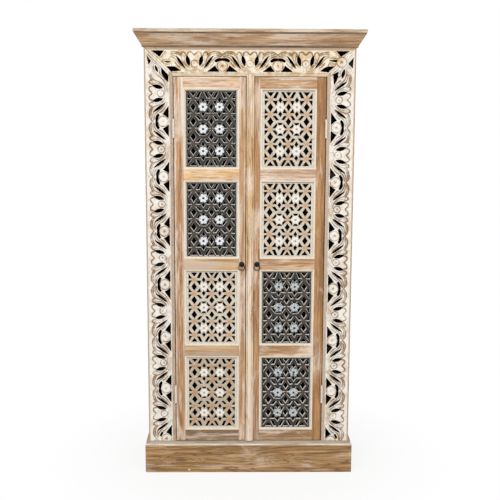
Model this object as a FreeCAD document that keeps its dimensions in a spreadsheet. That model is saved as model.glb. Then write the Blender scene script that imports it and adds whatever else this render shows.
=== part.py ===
import FreeCAD, Part
import Sketcher
import itertools
import math
import os
import re

# A tall two-door cabinet in whitewashed wood: a planked carcass on a plinth, carved and
# pierced border boards, framed doors with pierced lattice panels, iron ring pulls.
# Millimetres. The front faces -Y, +Z is up, the origin is the middle of the footprint.

doc = FreeCAD.newDocument("tall_cabinet")
sheet = doc.addObject("Spreadsheet::Sheet", "Dim")

SIZES = {
    "total_height": 1830,
    "body_width": 840,
    "body_depth": 380,
    "side_thick": 20,
    "back_thick": 10,
    "border_width": 113,
    "border_thick": 26,
    "border_outer_rim": 17,
    "border_inner_rim": 13,
    "left_repeat": 221.3,
    "right_repeat": 219.2,
    "top_repeat": 220,
    "left_first_trefoil": 1581,
    "right_first_trefoil": 1557,
    "mitre_margin": 4.2,
    "corner_reach": 107,
    "top_thick": 13,
    "top_overhang": 38,
    "crown_height": 55,
    "crown_reach": 35,
    "crown_foot_reach": 8,
    "crown_foot": 6,
    "crown_lip": 4,
    "plinth_height": 135,
    "plinth_overhang": 15,
    "plinth_bevel": 14,
    "plinth_block": 40,
    "floor_thick": 18,
    "shelf_thick": 18,
    "shelf_setback": 4,
    "cleat_size": 18,
    "stop_thick": 18,
    "stop_drop": 14,
    "stop_gap": 0.5,
    "door_gap": 2.5,
    "meeting_gap": 2.5,
    "hinge_stile": 37,
    "meeting_stile": 26,
    "rail_width": 46,
    "strip_width": 30,
    "strip_thick": 10,
    "strip_rise": 10,
    "strip_bead": 5,
    "strip_groove": 2,
    "tenon_length": 22,
    "joint_clearance": 0.2,
    "panel_thick": 10,
    "panel_recess": 7,
    "panel_groove": 7,
    "panel_clearance": 0.5,
    "bead_width": 9,
    "jali_side_rim": 9,
    "jali_end_rim": 5,
    "rosette_tip": 16,
    "rosette_notch": 11,
    "rosette_proud": 2,
    "hinge_length": 75,
    "hinge_inset": 203,
    "leaf_thick": 1.4,
    "leaf_gap": 0.4,
    "leaf_width": 20,
    "knuckle_radius": 4.5,
    "knuckle_stand_off": 0.5,
    "knuckle_end_gap": 0.3,
    "pin_radius": 2.2,
    "pin_clearance": 0.06,
    "screw_radius": 1.6,
    "screw_head": 3.2,
    "screw_length": 11,
    "screw_clearance": 0.05,
    "rose_radius": 11,
    "rose_face": 6.5,
    "rose_height": 5,
    "eye_radius": 5,
    "eye_width": 4,
    "eye_reach": 10,
    "ring_radius": 11.6,
    "ring_wire": 1.9,
    "ring_clearance": 0.6,
    "shank_radius": 2.4,
    "shank_clearance": 0.1,
    "pull_inset": 11,
    "shank_tail": 3,
    "catch_width": 40,
    "catch_height": 14,
    "catch_offset": 62,
    "catch_gap": 0.4,
    "strike_thick": 1.5,
    "strike_margin": 1,
}
for row, (name, number) in enumerate(SIZES.items(), start=1):
    sheet.set(f"A{row}", name)
    sheet.set(f"B{row}", str(number))
    sheet.setAlias(f"B{row}", name)
doc.recompute()

# Sizes that follow from the driving ones, as formulas.
FRONT = "((top_overhang - body_depth)/2)"
BACK = "((top_overhang + body_depth)/2)"
HALF_BODY = "(body_width/2)"
HALF_OPENING = "(body_width/2 - border_width)"
INNER_HALF = "(body_width/2 - side_thick)"
BORDER_BACK = f"({FRONT} + border_thick)"
BACK_FACE = f"({BACK} - back_thick)"
TOP_LOW = "(total_height - top_thick)"
CROWN_LOW = f"({TOP_LOW} - crown_height)"
OPENING_TOP = f"({CROWN_LOW} - border_width)"
DOOR_LOW = "(plinth_height + door_gap)"
DOOR_HIGH = f"({OPENING_TOP} - door_gap)"
DOOR_BACK = f"({BORDER_BACK} - stop_gap)"
PANEL_TALL = f"(({DOOR_HIGH} - {DOOR_LOW} - 5*rail_width)/4)"
BAY = f"({PANEL_TALL} + rail_width)"
HINGE_GAP = "(2*leaf_thick + leaf_gap)"
PANEL_OPEN = (f"((2*{HALF_OPENING} - 2*{HINGE_GAP} - meeting_gap - 2*hinge_stile"
              f" - 2*meeting_stile - strip_width)/2)")
GROOVE_FRONT = f"({FRONT} + panel_recess)"
GROOVE_BACK = f"({GROOVE_FRONT} + panel_thick + joint_clearance)"
PIN_Y = f"({FRONT} - knuckle_radius - knuckle_stand_off)"
PULL_Z = f"({DOOR_LOW} + 2*{BAY} + rail_width/2)"
EYE_Y = f"({FRONT} - eye_reach)"

subparts = []


def bound(text):
    """Formula text with every size name tied to its cell."""
    def tied(word):
        return "Dim." + word.group() if word.group() in SIZES else word.group()
    return re.sub(r"[a-z][a-z_]*", tied, text)


def size(text):
    """Number that a formula gives now."""
    return float(sheet.evalExpression(bound(text)))


def keep(item, label):
    """Name a finished sub-part and put it on the list."""
    item.Label = label
    subparts.append(item)
    return item


def place(item, x, y, z):
    """Tie the position of an object to formulas."""
    for axis, formula in zip("xyz", (x, y, z)):
        item.setExpression(f"Placement.Base.{axis}", bound(formula))
    return item


def board(name, x, y, z):
    """Board between low and high formulas on each axis."""
    item = doc.addObject("Part::Box", name)
    for prop, (low, high) in zip(("Length", "Width", "Height"), (x, y, z)):
        item.setExpression(prop, bound(f"({high}) - ({low})"))
    return place(item, x[0], y[0], z[0])


def rod(name, radius, length, spot, direction="z"):
    """Round bar from a spot along z, along x or towards the front (-y)."""
    item = doc.addObject("Part::Cylinder", name)
    item.setExpression("Radius", bound(radius))
    item.setExpression("Height", bound(length))
    turn(item, direction)
    return place(item, *spot)


def taper(name, radius_low, radius_high, length, spot, direction):
    """Round taper from a spot in one direction."""
    item = doc.addObject("Part::Cone", name)
    item.setExpression("Radius1", bound(radius_low))
    item.setExpression("Radius2", bound(radius_high))
    item.setExpression("Height", bound(length))
    turn(item, direction)
    return place(item, *spot)


def turn(item, direction):
    """Turn an upright primitive so that it points another way."""
    turns = {"x": ((0, 1, 0), 90), "-x": ((0, 1, 0), -90), "-y": ((1, 0, 0), 90)}
    if direction in turns:
        axis, angle = turns[direction]
        item.Placement = FreeCAD.Placement(
            FreeCAD.Vector(), FreeCAD.Rotation(FreeCAD.Vector(*axis), angle))


def joined(name, items):
    """One solid out of several."""
    item = doc.addObject("Part::MultiFuse", name)
    item.Shapes = items
    return item


def cut(name, base, tools):
    """Base with tools cut out of it."""
    item = doc.addObject("Part::Cut", name)
    item.Base = base
    item.Tool = tools[0] if len(tools) == 1 else joined(name + "_tools", tools)
    return item


def group(name, items):
    """Several separate solids as one sub-part."""
    item = doc.addObject("Part::Compound", name)
    item.Links = items
    return item


def plane_of(body, role):
    """Origin plane of a body."""
    return [plane for plane in body.Origin.OriginFeatures if plane.Role == role][0]


def moulding(name, corners, length, role):
    """Sketched outline with every corner tied to formulas, padded to a length."""
    body = doc.addObject("PartDesign::Body", name)
    sketch = body.newObject("Sketcher::SketchObject", name + "_outline")
    sketch.AttachmentSupport = [(plane_of(body, role), "")]
    sketch.MapMode = "FlatFace"
    spots = [(size(across), size(up)) for across, up in corners]
    count = len(spots)
    for index in range(count):
        start = FreeCAD.Vector(*spots[index], 0)
        finish = FreeCAD.Vector(*spots[(index + 1) % count], 0)
        sketch.addGeometry(Part.LineSegment(start, finish))
    for index in range(count):
        sketch.addConstraint(Sketcher.Constraint("Coincident", index, 2, (index + 1) % count, 1))
    for index, corner in enumerate(corners):
        for kind, number, formula in zip(("DistanceX", "DistanceY"), spots[index], corner):
            spot = sketch.addConstraint(Sketcher.Constraint(kind, -1, 1, index, 1, number))
            sketch.setExpression(f"Constraints[{spot}]", bound(formula))
    pad = body.newObject("PartDesign::Pad", name + "_length")
    pad.Profile = sketch
    pad.setExpression("Length", bound(length))
    return body


def ruled_bar(first, last):
    """Solid between two outlines with the same number of corners."""
    ends = []
    for outline in (first, last):
        corners = [FreeCAD.Vector(*corner) for corner in outline]
        ends.append(Part.makePolygon(corners + corners[:1]))
    return Part.makeLoft(ends, True, True)


def shaped(name, shape):
    """Sub-part whose shape is worked out in code."""
    item = doc.addObject("Part::Feature", name)
    item.Shape = shape
    return keep(item, name)


# Plinth: a beam across the front and a skirt board on each side, bevelled along the top.
SKIRT_LOW = "(plinth_height - plinth_bevel)"
SKIRT_REACH = f"({HALF_BODY} + plinth_overhang)"
beam_section = moulding("plinth_beam", [
    (f"{FRONT} - plinth_overhang", "0"),
    (BORDER_BACK, "0"),
    (BORDER_BACK, "plinth_height"),
    (FRONT, "plinth_height"),
    (f"{FRONT} - plinth_overhang", SKIRT_LOW)], f"2*{SKIRT_REACH}", "YZ_Plane")
place(beam_section, f"-{SKIRT_REACH}", "0", "0")
beam_outline = moulding("plinth_beam_ends", [
    (f"-{SKIRT_REACH}", "0"),
    (SKIRT_REACH, "0"),
    (SKIRT_REACH, SKIRT_LOW),
    (HALF_BODY, "plinth_height"),
    (f"-{HALF_BODY}", "plinth_height"),
    (f"-{SKIRT_REACH}", SKIRT_LOW)], "body_depth + plinth_overhang", "XZ_Plane")
place(beam_outline, "0", BACK, "0")
beam = doc.addObject("Part::Common", "plinth_beam_bevelled")
beam.Base = beam_section
beam.Tool = beam_outline
keep(beam, "plinth_front")
for side, sign in (("left", "-1"), ("right", "1")):
    skirt = moulding(f"skirt_{side}", [
        (f"{sign}*{HALF_BODY}", "0"),
        (f"{sign}*{SKIRT_REACH}", "0"),
        (f"{sign}*{SKIRT_REACH}", SKIRT_LOW),
        (f"{sign}*{HALF_BODY}", "plinth_height")], f"{BACK} - {BORDER_BACK}", "XZ_Plane")
    place(skirt, "0", BACK, "0")
    keep(skirt, f"plinth_{side}")
FLOOR_LOW = "(plinth_height - floor_thick)"
blocks = []
for across in (f"-{INNER_HALF}", f"{INNER_HALF} - plinth_block"):
    for along in (BORDER_BACK, f"{BACK_FACE} - plinth_block"):
        blocks.append(board(f"block_{len(blocks)}", (across, f"{across} + plinth_block"),
                            (along, f"{along} + plinth_block"), ("0", FLOOR_LOW)))
keep(group("blocks", blocks), "plinth_blocks")

# Carcass: planked sides and back, floor, shelves on cleats, header rail and top board.
SIDE_BOARDS = 3
for side, low in (("left", f"-{HALF_BODY}"), ("right", INNER_HALF)):
    planks = []
    plank = f"(({BACK_FACE} - {BORDER_BACK})/{SIDE_BOARDS})"
    for index in range(SIDE_BOARDS):
        planks.append(board(f"plank_{side}_{index}", (low, f"{low} + side_thick"),
                            (f"{BORDER_BACK} + {index}*{plank}", f"{BORDER_BACK} + {index + 1}*{plank}"),
                            ("0", TOP_LOW)))
    keep(group(f"planks_{side}", planks), f"side_{side}")
BACK_BOARDS = 6
planks = []
plank = f"(body_width/{BACK_BOARDS})"
for index in range(BACK_BOARDS):
    planks.append(board(f"plank_back_{index}",
                        (f"-{HALF_BODY} + {index}*{plank}", f"-{HALF_BODY} + {index + 1}*{plank}"),
                        (BACK_FACE, BACK), ("0", TOP_LOW)))
keep(group("planks_back", planks), "back_boards")
INSIDE = (f"-{INNER_HALF}", INNER_HALF)
keep(board("floor", INSIDE, (BORDER_BACK, BACK_FACE), (FLOOR_LOW, "plinth_height")), "floor_board")
cleats = []
for bay, label in ((1, "lower"), (2, "middle"), (3, "upper")):
    low = f"({DOOR_LOW} + {bay}*{BAY} + rail_width/2 - shelf_thick/2)"
    keep(board(f"shelf_{bay}", INSIDE, (f"{BORDER_BACK} + shelf_setback", BACK_FACE),
               (low, f"{low} + shelf_thick")), f"shelf_{label}")
    for across in (f"-{INNER_HALF}", f"{INNER_HALF} - cleat_size"):
        cleats.append(board(f"cleat_{len(cleats)}", (across, f"{across} + cleat_size"),
                            (f"{BORDER_BACK} + 2*shelf_setback", BACK_FACE), (f"{low} - cleat_size", low)))
keep(group("cleats", cleats), "shelf_cleats")
keep(board("header", (f"-{HALF_BODY}", HALF_BODY), (FRONT, BORDER_BACK), (CROWN_LOW, TOP_LOW)), "header_rail")
TOP_REACH = f"({HALF_BODY} + top_overhang)"
keep(board("lid", (f"-{TOP_REACH}", TOP_REACH), (f"{FRONT} - top_overhang", BACK),
           (TOP_LOW, "total_height")), "top_board")

# Crown: sloped moulding under the top board, mitred at the front corners.
half_body = size(HALF_BODY)
front = size(FRONT)
back = size(BACK)
crown_low = size(CROWN_LOW)
crown_section = [
    (0, 0),
    (size("crown_foot_reach"), 0),
    (size("crown_foot_reach"), size("crown_foot")),
    (size("crown_reach"), size("crown_height - crown_lip")),
    (size("crown_reach"), size("crown_height")),
    (0, size("crown_height"))]
shaped("crown_front", ruled_bar(
    [(-half_body - reach, front - reach, crown_low + up) for reach, up in crown_section],
    [(half_body + reach, front - reach, crown_low + up) for reach, up in crown_section]))
for side, sign in (("left", -1), ("right", 1)):
    shaped(f"crown_{side}", ruled_bar(
        [(sign*(half_body + reach), front - reach, crown_low + up) for reach, up in crown_section],
        [(sign*(half_body + reach), back, crown_low + up) for reach, up in crown_section]))

# Carved borders: one pattern repeats along the boards; across runs from the outer rim (0)
# to the inner rim (1), along is a share of the repeat with the trefoil at 0.
# Each opening lists its corners; an arc has a middle point, a straight edge has none.
CRESCENT = [((0.18, 0.141), (0.42, 0.157)), ((0.70, 0.092), (0.39, 0.084))]
SLOT = [((0.185, 0.337), (0.48, 0.229)), ((0.80, 0.163), (0.53, 0.277))]
TRIANGLE = [((0.955, 0.222), (0.78, 0.305)), ((0.655, 0.372), (0.775, 0.398)), ((0.955, 0.452), None)]
ROSETTE_CRESCENT = [
    ((0.455, 0.352), (0.338, 0.402)), ((0.302, 0.452), (0.318, 0.500)),
    ((0.302, 0.548), (0.338, 0.598)), ((0.455, 0.648), None),
    ((0.52, 0.612), (0.458, 0.556)), ((0.422, 0.500), (0.458, 0.444)), ((0.52, 0.388), None)]
HALF_CRESCENT = [
    ((0.45, 0.352), (0.365, 0.400)), ((0.325, 0.446), None),
    ((0.435, 0.458), (0.475, 0.412)), ((0.53, 0.374), None)]
# Each shape, the one that takes its place where the board ends, and the sides of the trefoil.
PATTERN = (
    (CRESCENT, None, (1, -1)), (SLOT, None, (1, -1)), (TRIANGLE, None, (1, -1)),
    (ROSETTE_CRESCENT, HALF_CRESCENT, (-1,)))
# At the mitres, across and along are shares of the board's width from the outer corner.
SIDE_CORNERS = {
    "left": [
        [((0.09, 0.275), None), ((0.258, 0.490), None), ((0.16, 0.630), None)],
        [((0.39, 0.622), (0.395, 0.770)), ((0.485, 0.888), (0.475, 0.735))],
        [((0.603, 0.708), None), ((0.858, 0.985), None), ((0.847, 1.228), (0.69, 1.050)),
         ((0.603, 0.905), None)]],
    "right": [
        [((0.085, 0.330), None), ((0.278, 0.560), None), ((0.11, 0.725), None)],
        [((0.395, 0.735), (0.382, 0.920)), ((0.478, 1.070), (0.492, 0.860))],
        [((0.608, 0.812), None), ((0.80, 0.925), None), ((0.768, 1.300), (0.665, 1.140)),
         ((0.617, 0.980), None)]]}
TOP_CORNERS = {
    "left": [
        [((0.125, 0.245), None), ((0.345, 0.550), None), ((0.125, 0.715), None)],
        [((0.482, 0.695), (0.49, 0.820)), ((0.505, 0.955), (0.542, 0.800))],
        [((0.665, 0.775), None), ((0.67, 1.075), None), ((0.818, 1.310), None), ((0.853, 0.945), None)]],
    "right": [
        [((0.12, 0.228), None), ((0.325, 0.535), None), ((0.122, 0.712), None)],
        [((0.415, 0.662), None), ((0.435, 0.965), (0.49, 0.815)), ((0.51, 0.680), None)],
        [((0.64, 0.715), None), ((0.65, 0.985), (0.712, 1.130)), ((0.822, 1.262), None),
         ((0.858, 0.965), (0.752, 0.870))]]}
border_width = size("border_width")
outer_rim = size("border_outer_rim")
carved = border_width - outer_rim - size("border_inner_rim")
corner_reach = size("corner_reach")
mitre_slack = size("mitre_margin")*math.sqrt(2)
half_opening = size(HALF_OPENING)
opening_top = size(OPENING_TOP)
plinth_height = size("plinth_height")


def opening_wire(shape, spot):
    """Outline of one opening, with spot turning shares into a point of the board."""
    edges = []
    for (corner, middle), (after, _) in zip(shape, shape[1:] + shape[:1]):
        if middle is None:
            edges.append(Part.makeLine(spot(*corner), spot(*after)))
        else:
            edges.append(Part.Arc(spot(*corner), spot(*middle), spot(*after)).toShape())
    return Part.Wire(edges)


def repeated_openings(to_point, first, repeat, steps, inside):
    """Openings of the repeating pattern that lie inside the board, a trefoil at first + each step."""
    for step in steps:
        for whole, shorter, mirrors in PATTERN:
            for mirror in mirrors:
                for shape in filter(None, (whole, shorter)):
                    wire = opening_wire(shape, lambda across, along: to_point(
                        outer_rim + across*carved, first + (step + mirror*along)*repeat))
                    if all(inside(vertex.Point) for vertex in wire.Vertexes):
                        yield wire
                        break


def corner_openings(to_point, shapes):
    """Openings beside a mitre."""
    for shape in shapes:
        yield opening_wire(shape, lambda across, along: to_point(across*border_width, along*border_width))


def carved_board(name, corners, openings):
    """Board with its openings sawn through."""
    corners = [FreeCAD.Vector(*corner) for corner in corners]
    face = Part.makeFace([Part.makePolygon(corners + corners[:1]), *openings], "Part::FaceMakerBullseye")
    shaped(name, face.extrude(FreeCAD.Vector(0, size("border_thick"), 0)).Solids[0])


def beyond_mitre(point):
    """How far a point of the front lies above the mitre of its corner."""
    return (point.z - crown_low) - (abs(point.x) - half_body)


for side, sign in (("left", -1), ("right", 1)):
    openings = list(repeated_openings(
        lambda across, along: FreeCAD.Vector(sign*(half_body - across), front, along),
        size(f"{side}_first_trefoil"), size(f"{side}_repeat"), range(-8, 3),
        lambda point: plinth_height + mitre_slack < point.z < crown_low - corner_reach
        and beyond_mitre(point) < -mitre_slack))
    openings += corner_openings(
        lambda across, along: FreeCAD.Vector(sign*(half_body - across), front, crown_low - along),
        SIDE_CORNERS[side])
    carved_board(
        f"border_{side}",
        [(sign*half_body, front, plinth_height), (sign*half_opening, front, plinth_height),
         (sign*half_opening, front, opening_top), (sign*half_body, front, crown_low)],
        openings)
openings = list(repeated_openings(
    lambda across, along: FreeCAD.Vector(along, front, crown_low - across),
    0, size("top_repeat"), range(-2, 3),
    lambda point: abs(point.x) < half_body - corner_reach and beyond_mitre(point) > mitre_slack))
for side, sign in (("left", -1), ("right", 1)):
    openings += corner_openings(
        lambda across, along: FreeCAD.Vector(sign*(half_body - along), front, crown_low - across),
        TOP_CORNERS[side])
carved_board(
    "border_top",
    [(-half_body, front, crown_low), (half_body, front, crown_low),
     (half_opening, front, opening_top), (-half_opening, front, opening_top)],
    openings)

# Door stop batten behind the top of the doors, with a magnet catch for each door.
STOP_LOW = f"({OPENING_TOP} - stop_drop)"
keep(board("stop", (f"-{HALF_OPENING}", HALF_OPENING), (BORDER_BACK, f"{BORDER_BACK} + stop_thick"),
           (STOP_LOW, f"{OPENING_TOP} + border_inner_rim")), "door_stop")
CATCH_FRONT = f"({DOOR_BACK} + strike_thick + catch_gap)"
catches = []
for across in ("-catch_offset - catch_width", "catch_offset"):
    catches.append(board(f"catch_{len(catches)}", (across, f"{across} + catch_width"),
                         (CATCH_FRONT, f"{BORDER_BACK} + stop_thick"),
                         (f"{STOP_LOW} - catch_height", STOP_LOW)))
keep(group("catches", catches), "magnet_catches")

# Butt hinges: two for each door, with five knuckles on a pin in front of the faces.
KNUCKLE = "(hinge_length/5)"
frame_leaves = []
frame_screws = []
pins = []
door_leaves = {"left": [], "right": []}
door_screws = {"left": [], "right": []}


def span(sign, low, high):
    """Low and high formulas across the opening, from distances to its hinge edge."""
    if sign < 0:
        return f"-{HALF_OPENING} + ({low})", f"-{HALF_OPENING} + ({high})"
    return f"{HALF_OPENING} - ({high})", f"{HALF_OPENING} - ({low})"


def screw(name, sign, outer, into, z, extra):
    """Countersunk screw lying across, its head flush with the free face of a leaf."""
    away = "x" if sign*into > 0 else "-x"
    face = f"{HALF_OPENING} - ({outer})"
    x = f"-({face})" if sign < 0 else face
    spot = (x, f"{FRONT} + 0.6*leaf_width", z)
    head = taper(name + "_head", f"screw_head + {extra}", f"screw_radius + {extra}", "leaf_thick", spot, away)
    shank = rod(name + "_shank", f"screw_radius + {extra}", "leaf_thick + screw_length", spot, away)
    return joined(name, [head, shank])


for side, sign in (("left", -1), ("right", 1)):
    pin_x = f"{'-' if sign < 0 else ''}({HALF_OPENING} - {HINGE_GAP}/2)"
    for height, middle in (("low", f"({DOOR_LOW} + hinge_inset)"), ("high", f"({DOOR_HIGH} - hinge_inset)")):
        bottom = f"({middle} - hinge_length/2)"
        tag = f"{side}_{height}"
        pins.append(rod(f"pin_{tag}", "pin_radius", "hinge_length", (pin_x, PIN_Y, bottom)))
        kinds = (("frame", (0, 2, 4), ("0", "leaf_thick"), "pin_radius"),
                 ("door", (1, 3), (f"{HINGE_GAP} - leaf_thick", HINGE_GAP), "pin_radius + pin_clearance"))
        for kind, knuckles, (near, far), bore in kinds:
            across = span(sign, near, far)
            pieces = [board(f"plate_{kind}_{tag}", across, (FRONT, f"{FRONT} + leaf_width"),
                            (bottom, f"{bottom} + hinge_length"))]
            for number in knuckles:
                low = f"({bottom} + {number}*{KNUCKLE} + knuckle_end_gap/2)"
                high = f"({low} + {KNUCKLE} - knuckle_end_gap)"
                pieces.append(board(f"neck_{kind}_{tag}_{number}", across, (PIN_Y, FRONT), (low, high)))
                pieces.append(rod(f"knuckle_{kind}_{tag}_{number}", "knuckle_radius", f"{high} - {low}",
                                  (pin_x, PIN_Y, low)))
            tools = [rod(f"bore_{kind}_{tag}", bore, "hinge_length", (pin_x, PIN_Y, bottom))]
            outer = far if kind == "frame" else near
            into = 1 if kind == "frame" else -1
            for number in (1, 3, 5):
                z = f"({bottom} + {number}*hinge_length/6)"
                tools.append(screw(f"hole_{kind}_{tag}_{number}", sign, outer, into, z, "screw_clearance"))
                made = screw(f"screw_{kind}_{tag}_{number}", sign, outer, into, z, "0")
                if kind == "frame":
                    frame_screws.append(made)
                else:
                    door_screws[side].append(made)
            leaf = cut(f"leaf_{kind}_{tag}", joined(f"leaf_blank_{kind}_{tag}", pieces), tools)
            if kind == "frame":
                frame_leaves.append(leaf)
            else:
                door_leaves[side].append(leaf)
keep(group("frame_leaves", frame_leaves), "frame_hinge_leaves")
keep(group("pins", pins), "hinge_pins")
keep(group("frame_screws", frame_screws), "frame_hinge_screws")

# Lattice panel: the openings of one quarter, drawn from the middle of a panel with the half
# sizes below and stretched to the real one.
DRAWN_WIDE = 94.3
DRAWN_TALL = 145.9
QUARTER = [
    [(0, 73.2), (8.5, 87.5), (0, 102.3), (-8.5, 87.5)], [(0, 16.1), (9.6, 30.5), (0, 45.4), (-9.6, 30.5)],
    [(72.5, 70.2), (83.1, 87.5), (72.5, 103.3), (61.9, 87.5)],
    [(72.5, 13.2), (83.6, 30.5), (72.5, 47.4), (61.4, 30.5)], [(81.3, 121.9), (95.2, 121.6), (94.7, 141.8)],
    [(81.3, 113.1), (94.7, 92.7), (95.2, 113.4)], [(81.3, 63.9), (95.2, 63.6), (94.7, 82.3)],
    [(81.8, 54.6), (94.7, 37.2), (95.2, 54.9)], [(81.3, 4.9), (95.2, 4.6), (94.7, 23.3)],
    [(0, 131.7), (10.7, 146.5), (-10.7, 146.5)], [(72, 130.2), (85.2, 146.5), (58.8, 146.5)],
    [(6.3, 123.8), (16.5, 123.6), (29.2, 146.6), (19.5, 146.8)],
    [(49.9, 123.6), (61.7, 123.8), (49, 146.8), (39.9, 146.6)],
    [(33, 104.7), (40.8, 114.9), (33, 127.8), (25.2, 114.9)],
    [(33, 48.1), (40.8, 60.6), (33, 70.8), (25.2, 60.6)], [(16.1, 94.7), (23.1, 111.7), (5.9, 112.7)],
    [(49.2, 93.2), (63.7, 112.6), (45, 112.9)], [(5.8, 63.8), (22.6, 64.7), (17.2, 81.3)],
    [(45.5, 63.6), (62.7, 63.9), (47.9, 81.8)], [(17.5, 37), (27.2, 38.5), (18, 51.8), (7.9, 52.7)],
    [(38.8, 37.5), (48.4, 36.6), (62.8, 52), (52.1, 53.4)],
    [(28, 16.6), (38, 16.6), (44.2, 25.6), (21.8, 25.6)],
    [(4.8, 4.9), (13.4, 4.6), (20.5, 12.7), (18.3, 22.3)],
    [(53.6, 4.6), (63.2, 4.9), (47.7, 24.3), (45.5, 13.7)]]
ROSETTE_ACROSS = 33
ROSETTE_UP = 87.7
panel_open = size(PANEL_OPEN)
panel_tall = size(PANEL_TALL)
bead_width = size("bead_width")
stretch_x = (panel_open/2 - bead_width - size("jali_side_rim"))/DRAWN_WIDE
stretch_z = (panel_tall/2 - bead_width - size("jali_end_rim"))/DRAWN_TALL


def lattice_openings():
    """Every opening of the lattice once, mirrored from its quarter."""
    seen = {}
    for corners in QUARTER:
        for flip_x in (stretch_x, -stretch_x):
            for flip_z in (stretch_z, -stretch_z):
                turned = [(flip_x*across, flip_z*up) for across, up in corners]
                middle = tuple(round(sum(part)/len(turned), 3) + 0.0 for part in zip(*turned))
                seen.setdefault(middle, turned)
    return list(seen.values())


def closed_wire(points, depth):
    """Closed outline at one depth."""
    corners = [FreeCAD.Vector(across, depth, up) for across, up in points]
    return Part.makePolygon(corners + corners[:1])


panel_half_wide = panel_open/2 + size("panel_groove - panel_clearance")
panel_half_tall = panel_tall/2 + size("panel_groove - panel_clearance")
panel_outline = [(-panel_half_wide, -panel_half_tall), (panel_half_wide, -panel_half_tall),
                 (panel_half_wide, panel_half_tall), (-panel_half_wide, panel_half_tall)]
panel_wires = [closed_wire(panel_outline, 0)]
panel_wires += [closed_wire(points, 0) for points in lattice_openings()]
panel_thick = size("panel_thick")
panel_face = Part.makeFace(panel_wires, "Part::FaceMakerBullseye")
lattice = panel_face.extrude(FreeCAD.Vector(0, panel_thick, 0)).Solids[0]
rosettes = []
for across, up in itertools.product((-ROSETTE_ACROSS, ROSETTE_ACROSS), (-ROSETTE_UP, 0, ROSETTE_UP)):
    points = []
    for index in range(12):
        reach = size("rosette_notch") if index % 2 else size("rosette_tip")
        angle = index*math.pi/6
        points.append((across*stretch_x + reach*math.cos(angle), up*stretch_z + reach*math.sin(angle)))
    outline = Part.Face(closed_wire(points, -size("rosette_proud")))
    rosettes.append(outline.extrude(FreeCAD.Vector(0, panel_thick + size("rosette_proud"), 0)))
lattice = lattice.fuse(rosettes).removeSplitter().Solids[0]

# Bead: small moulding in the corner between the door frame and the panel.
recess = size("panel_recess")
bead_section = [(0, recess), (bead_width, recess), (bead_width, 0.7*recess), (0.87*bead_width, 0.37*recess),
                (0.58*bead_width, 0.11*recess), (0.22*bead_width, 0), (0, 0)]


def bead_frame(middle_x, middle_z):
    """Four mitred bead strips around one panel."""
    strips = []
    corners = [(-1, -1), (1, -1), (1, 1), (-1, 1)]
    for start, finish in zip(corners, corners[1:] + corners[:1]):
        ends = []
        for side_x, side_z in (start, finish):
            ends.append([(middle_x + side_x*(panel_open/2 - inward), front + depth,
                          middle_z + side_z*(panel_tall/2 - inward)) for inward, depth in bead_section])
        strips.append(ruled_bar(*ends))
    return strips


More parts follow.
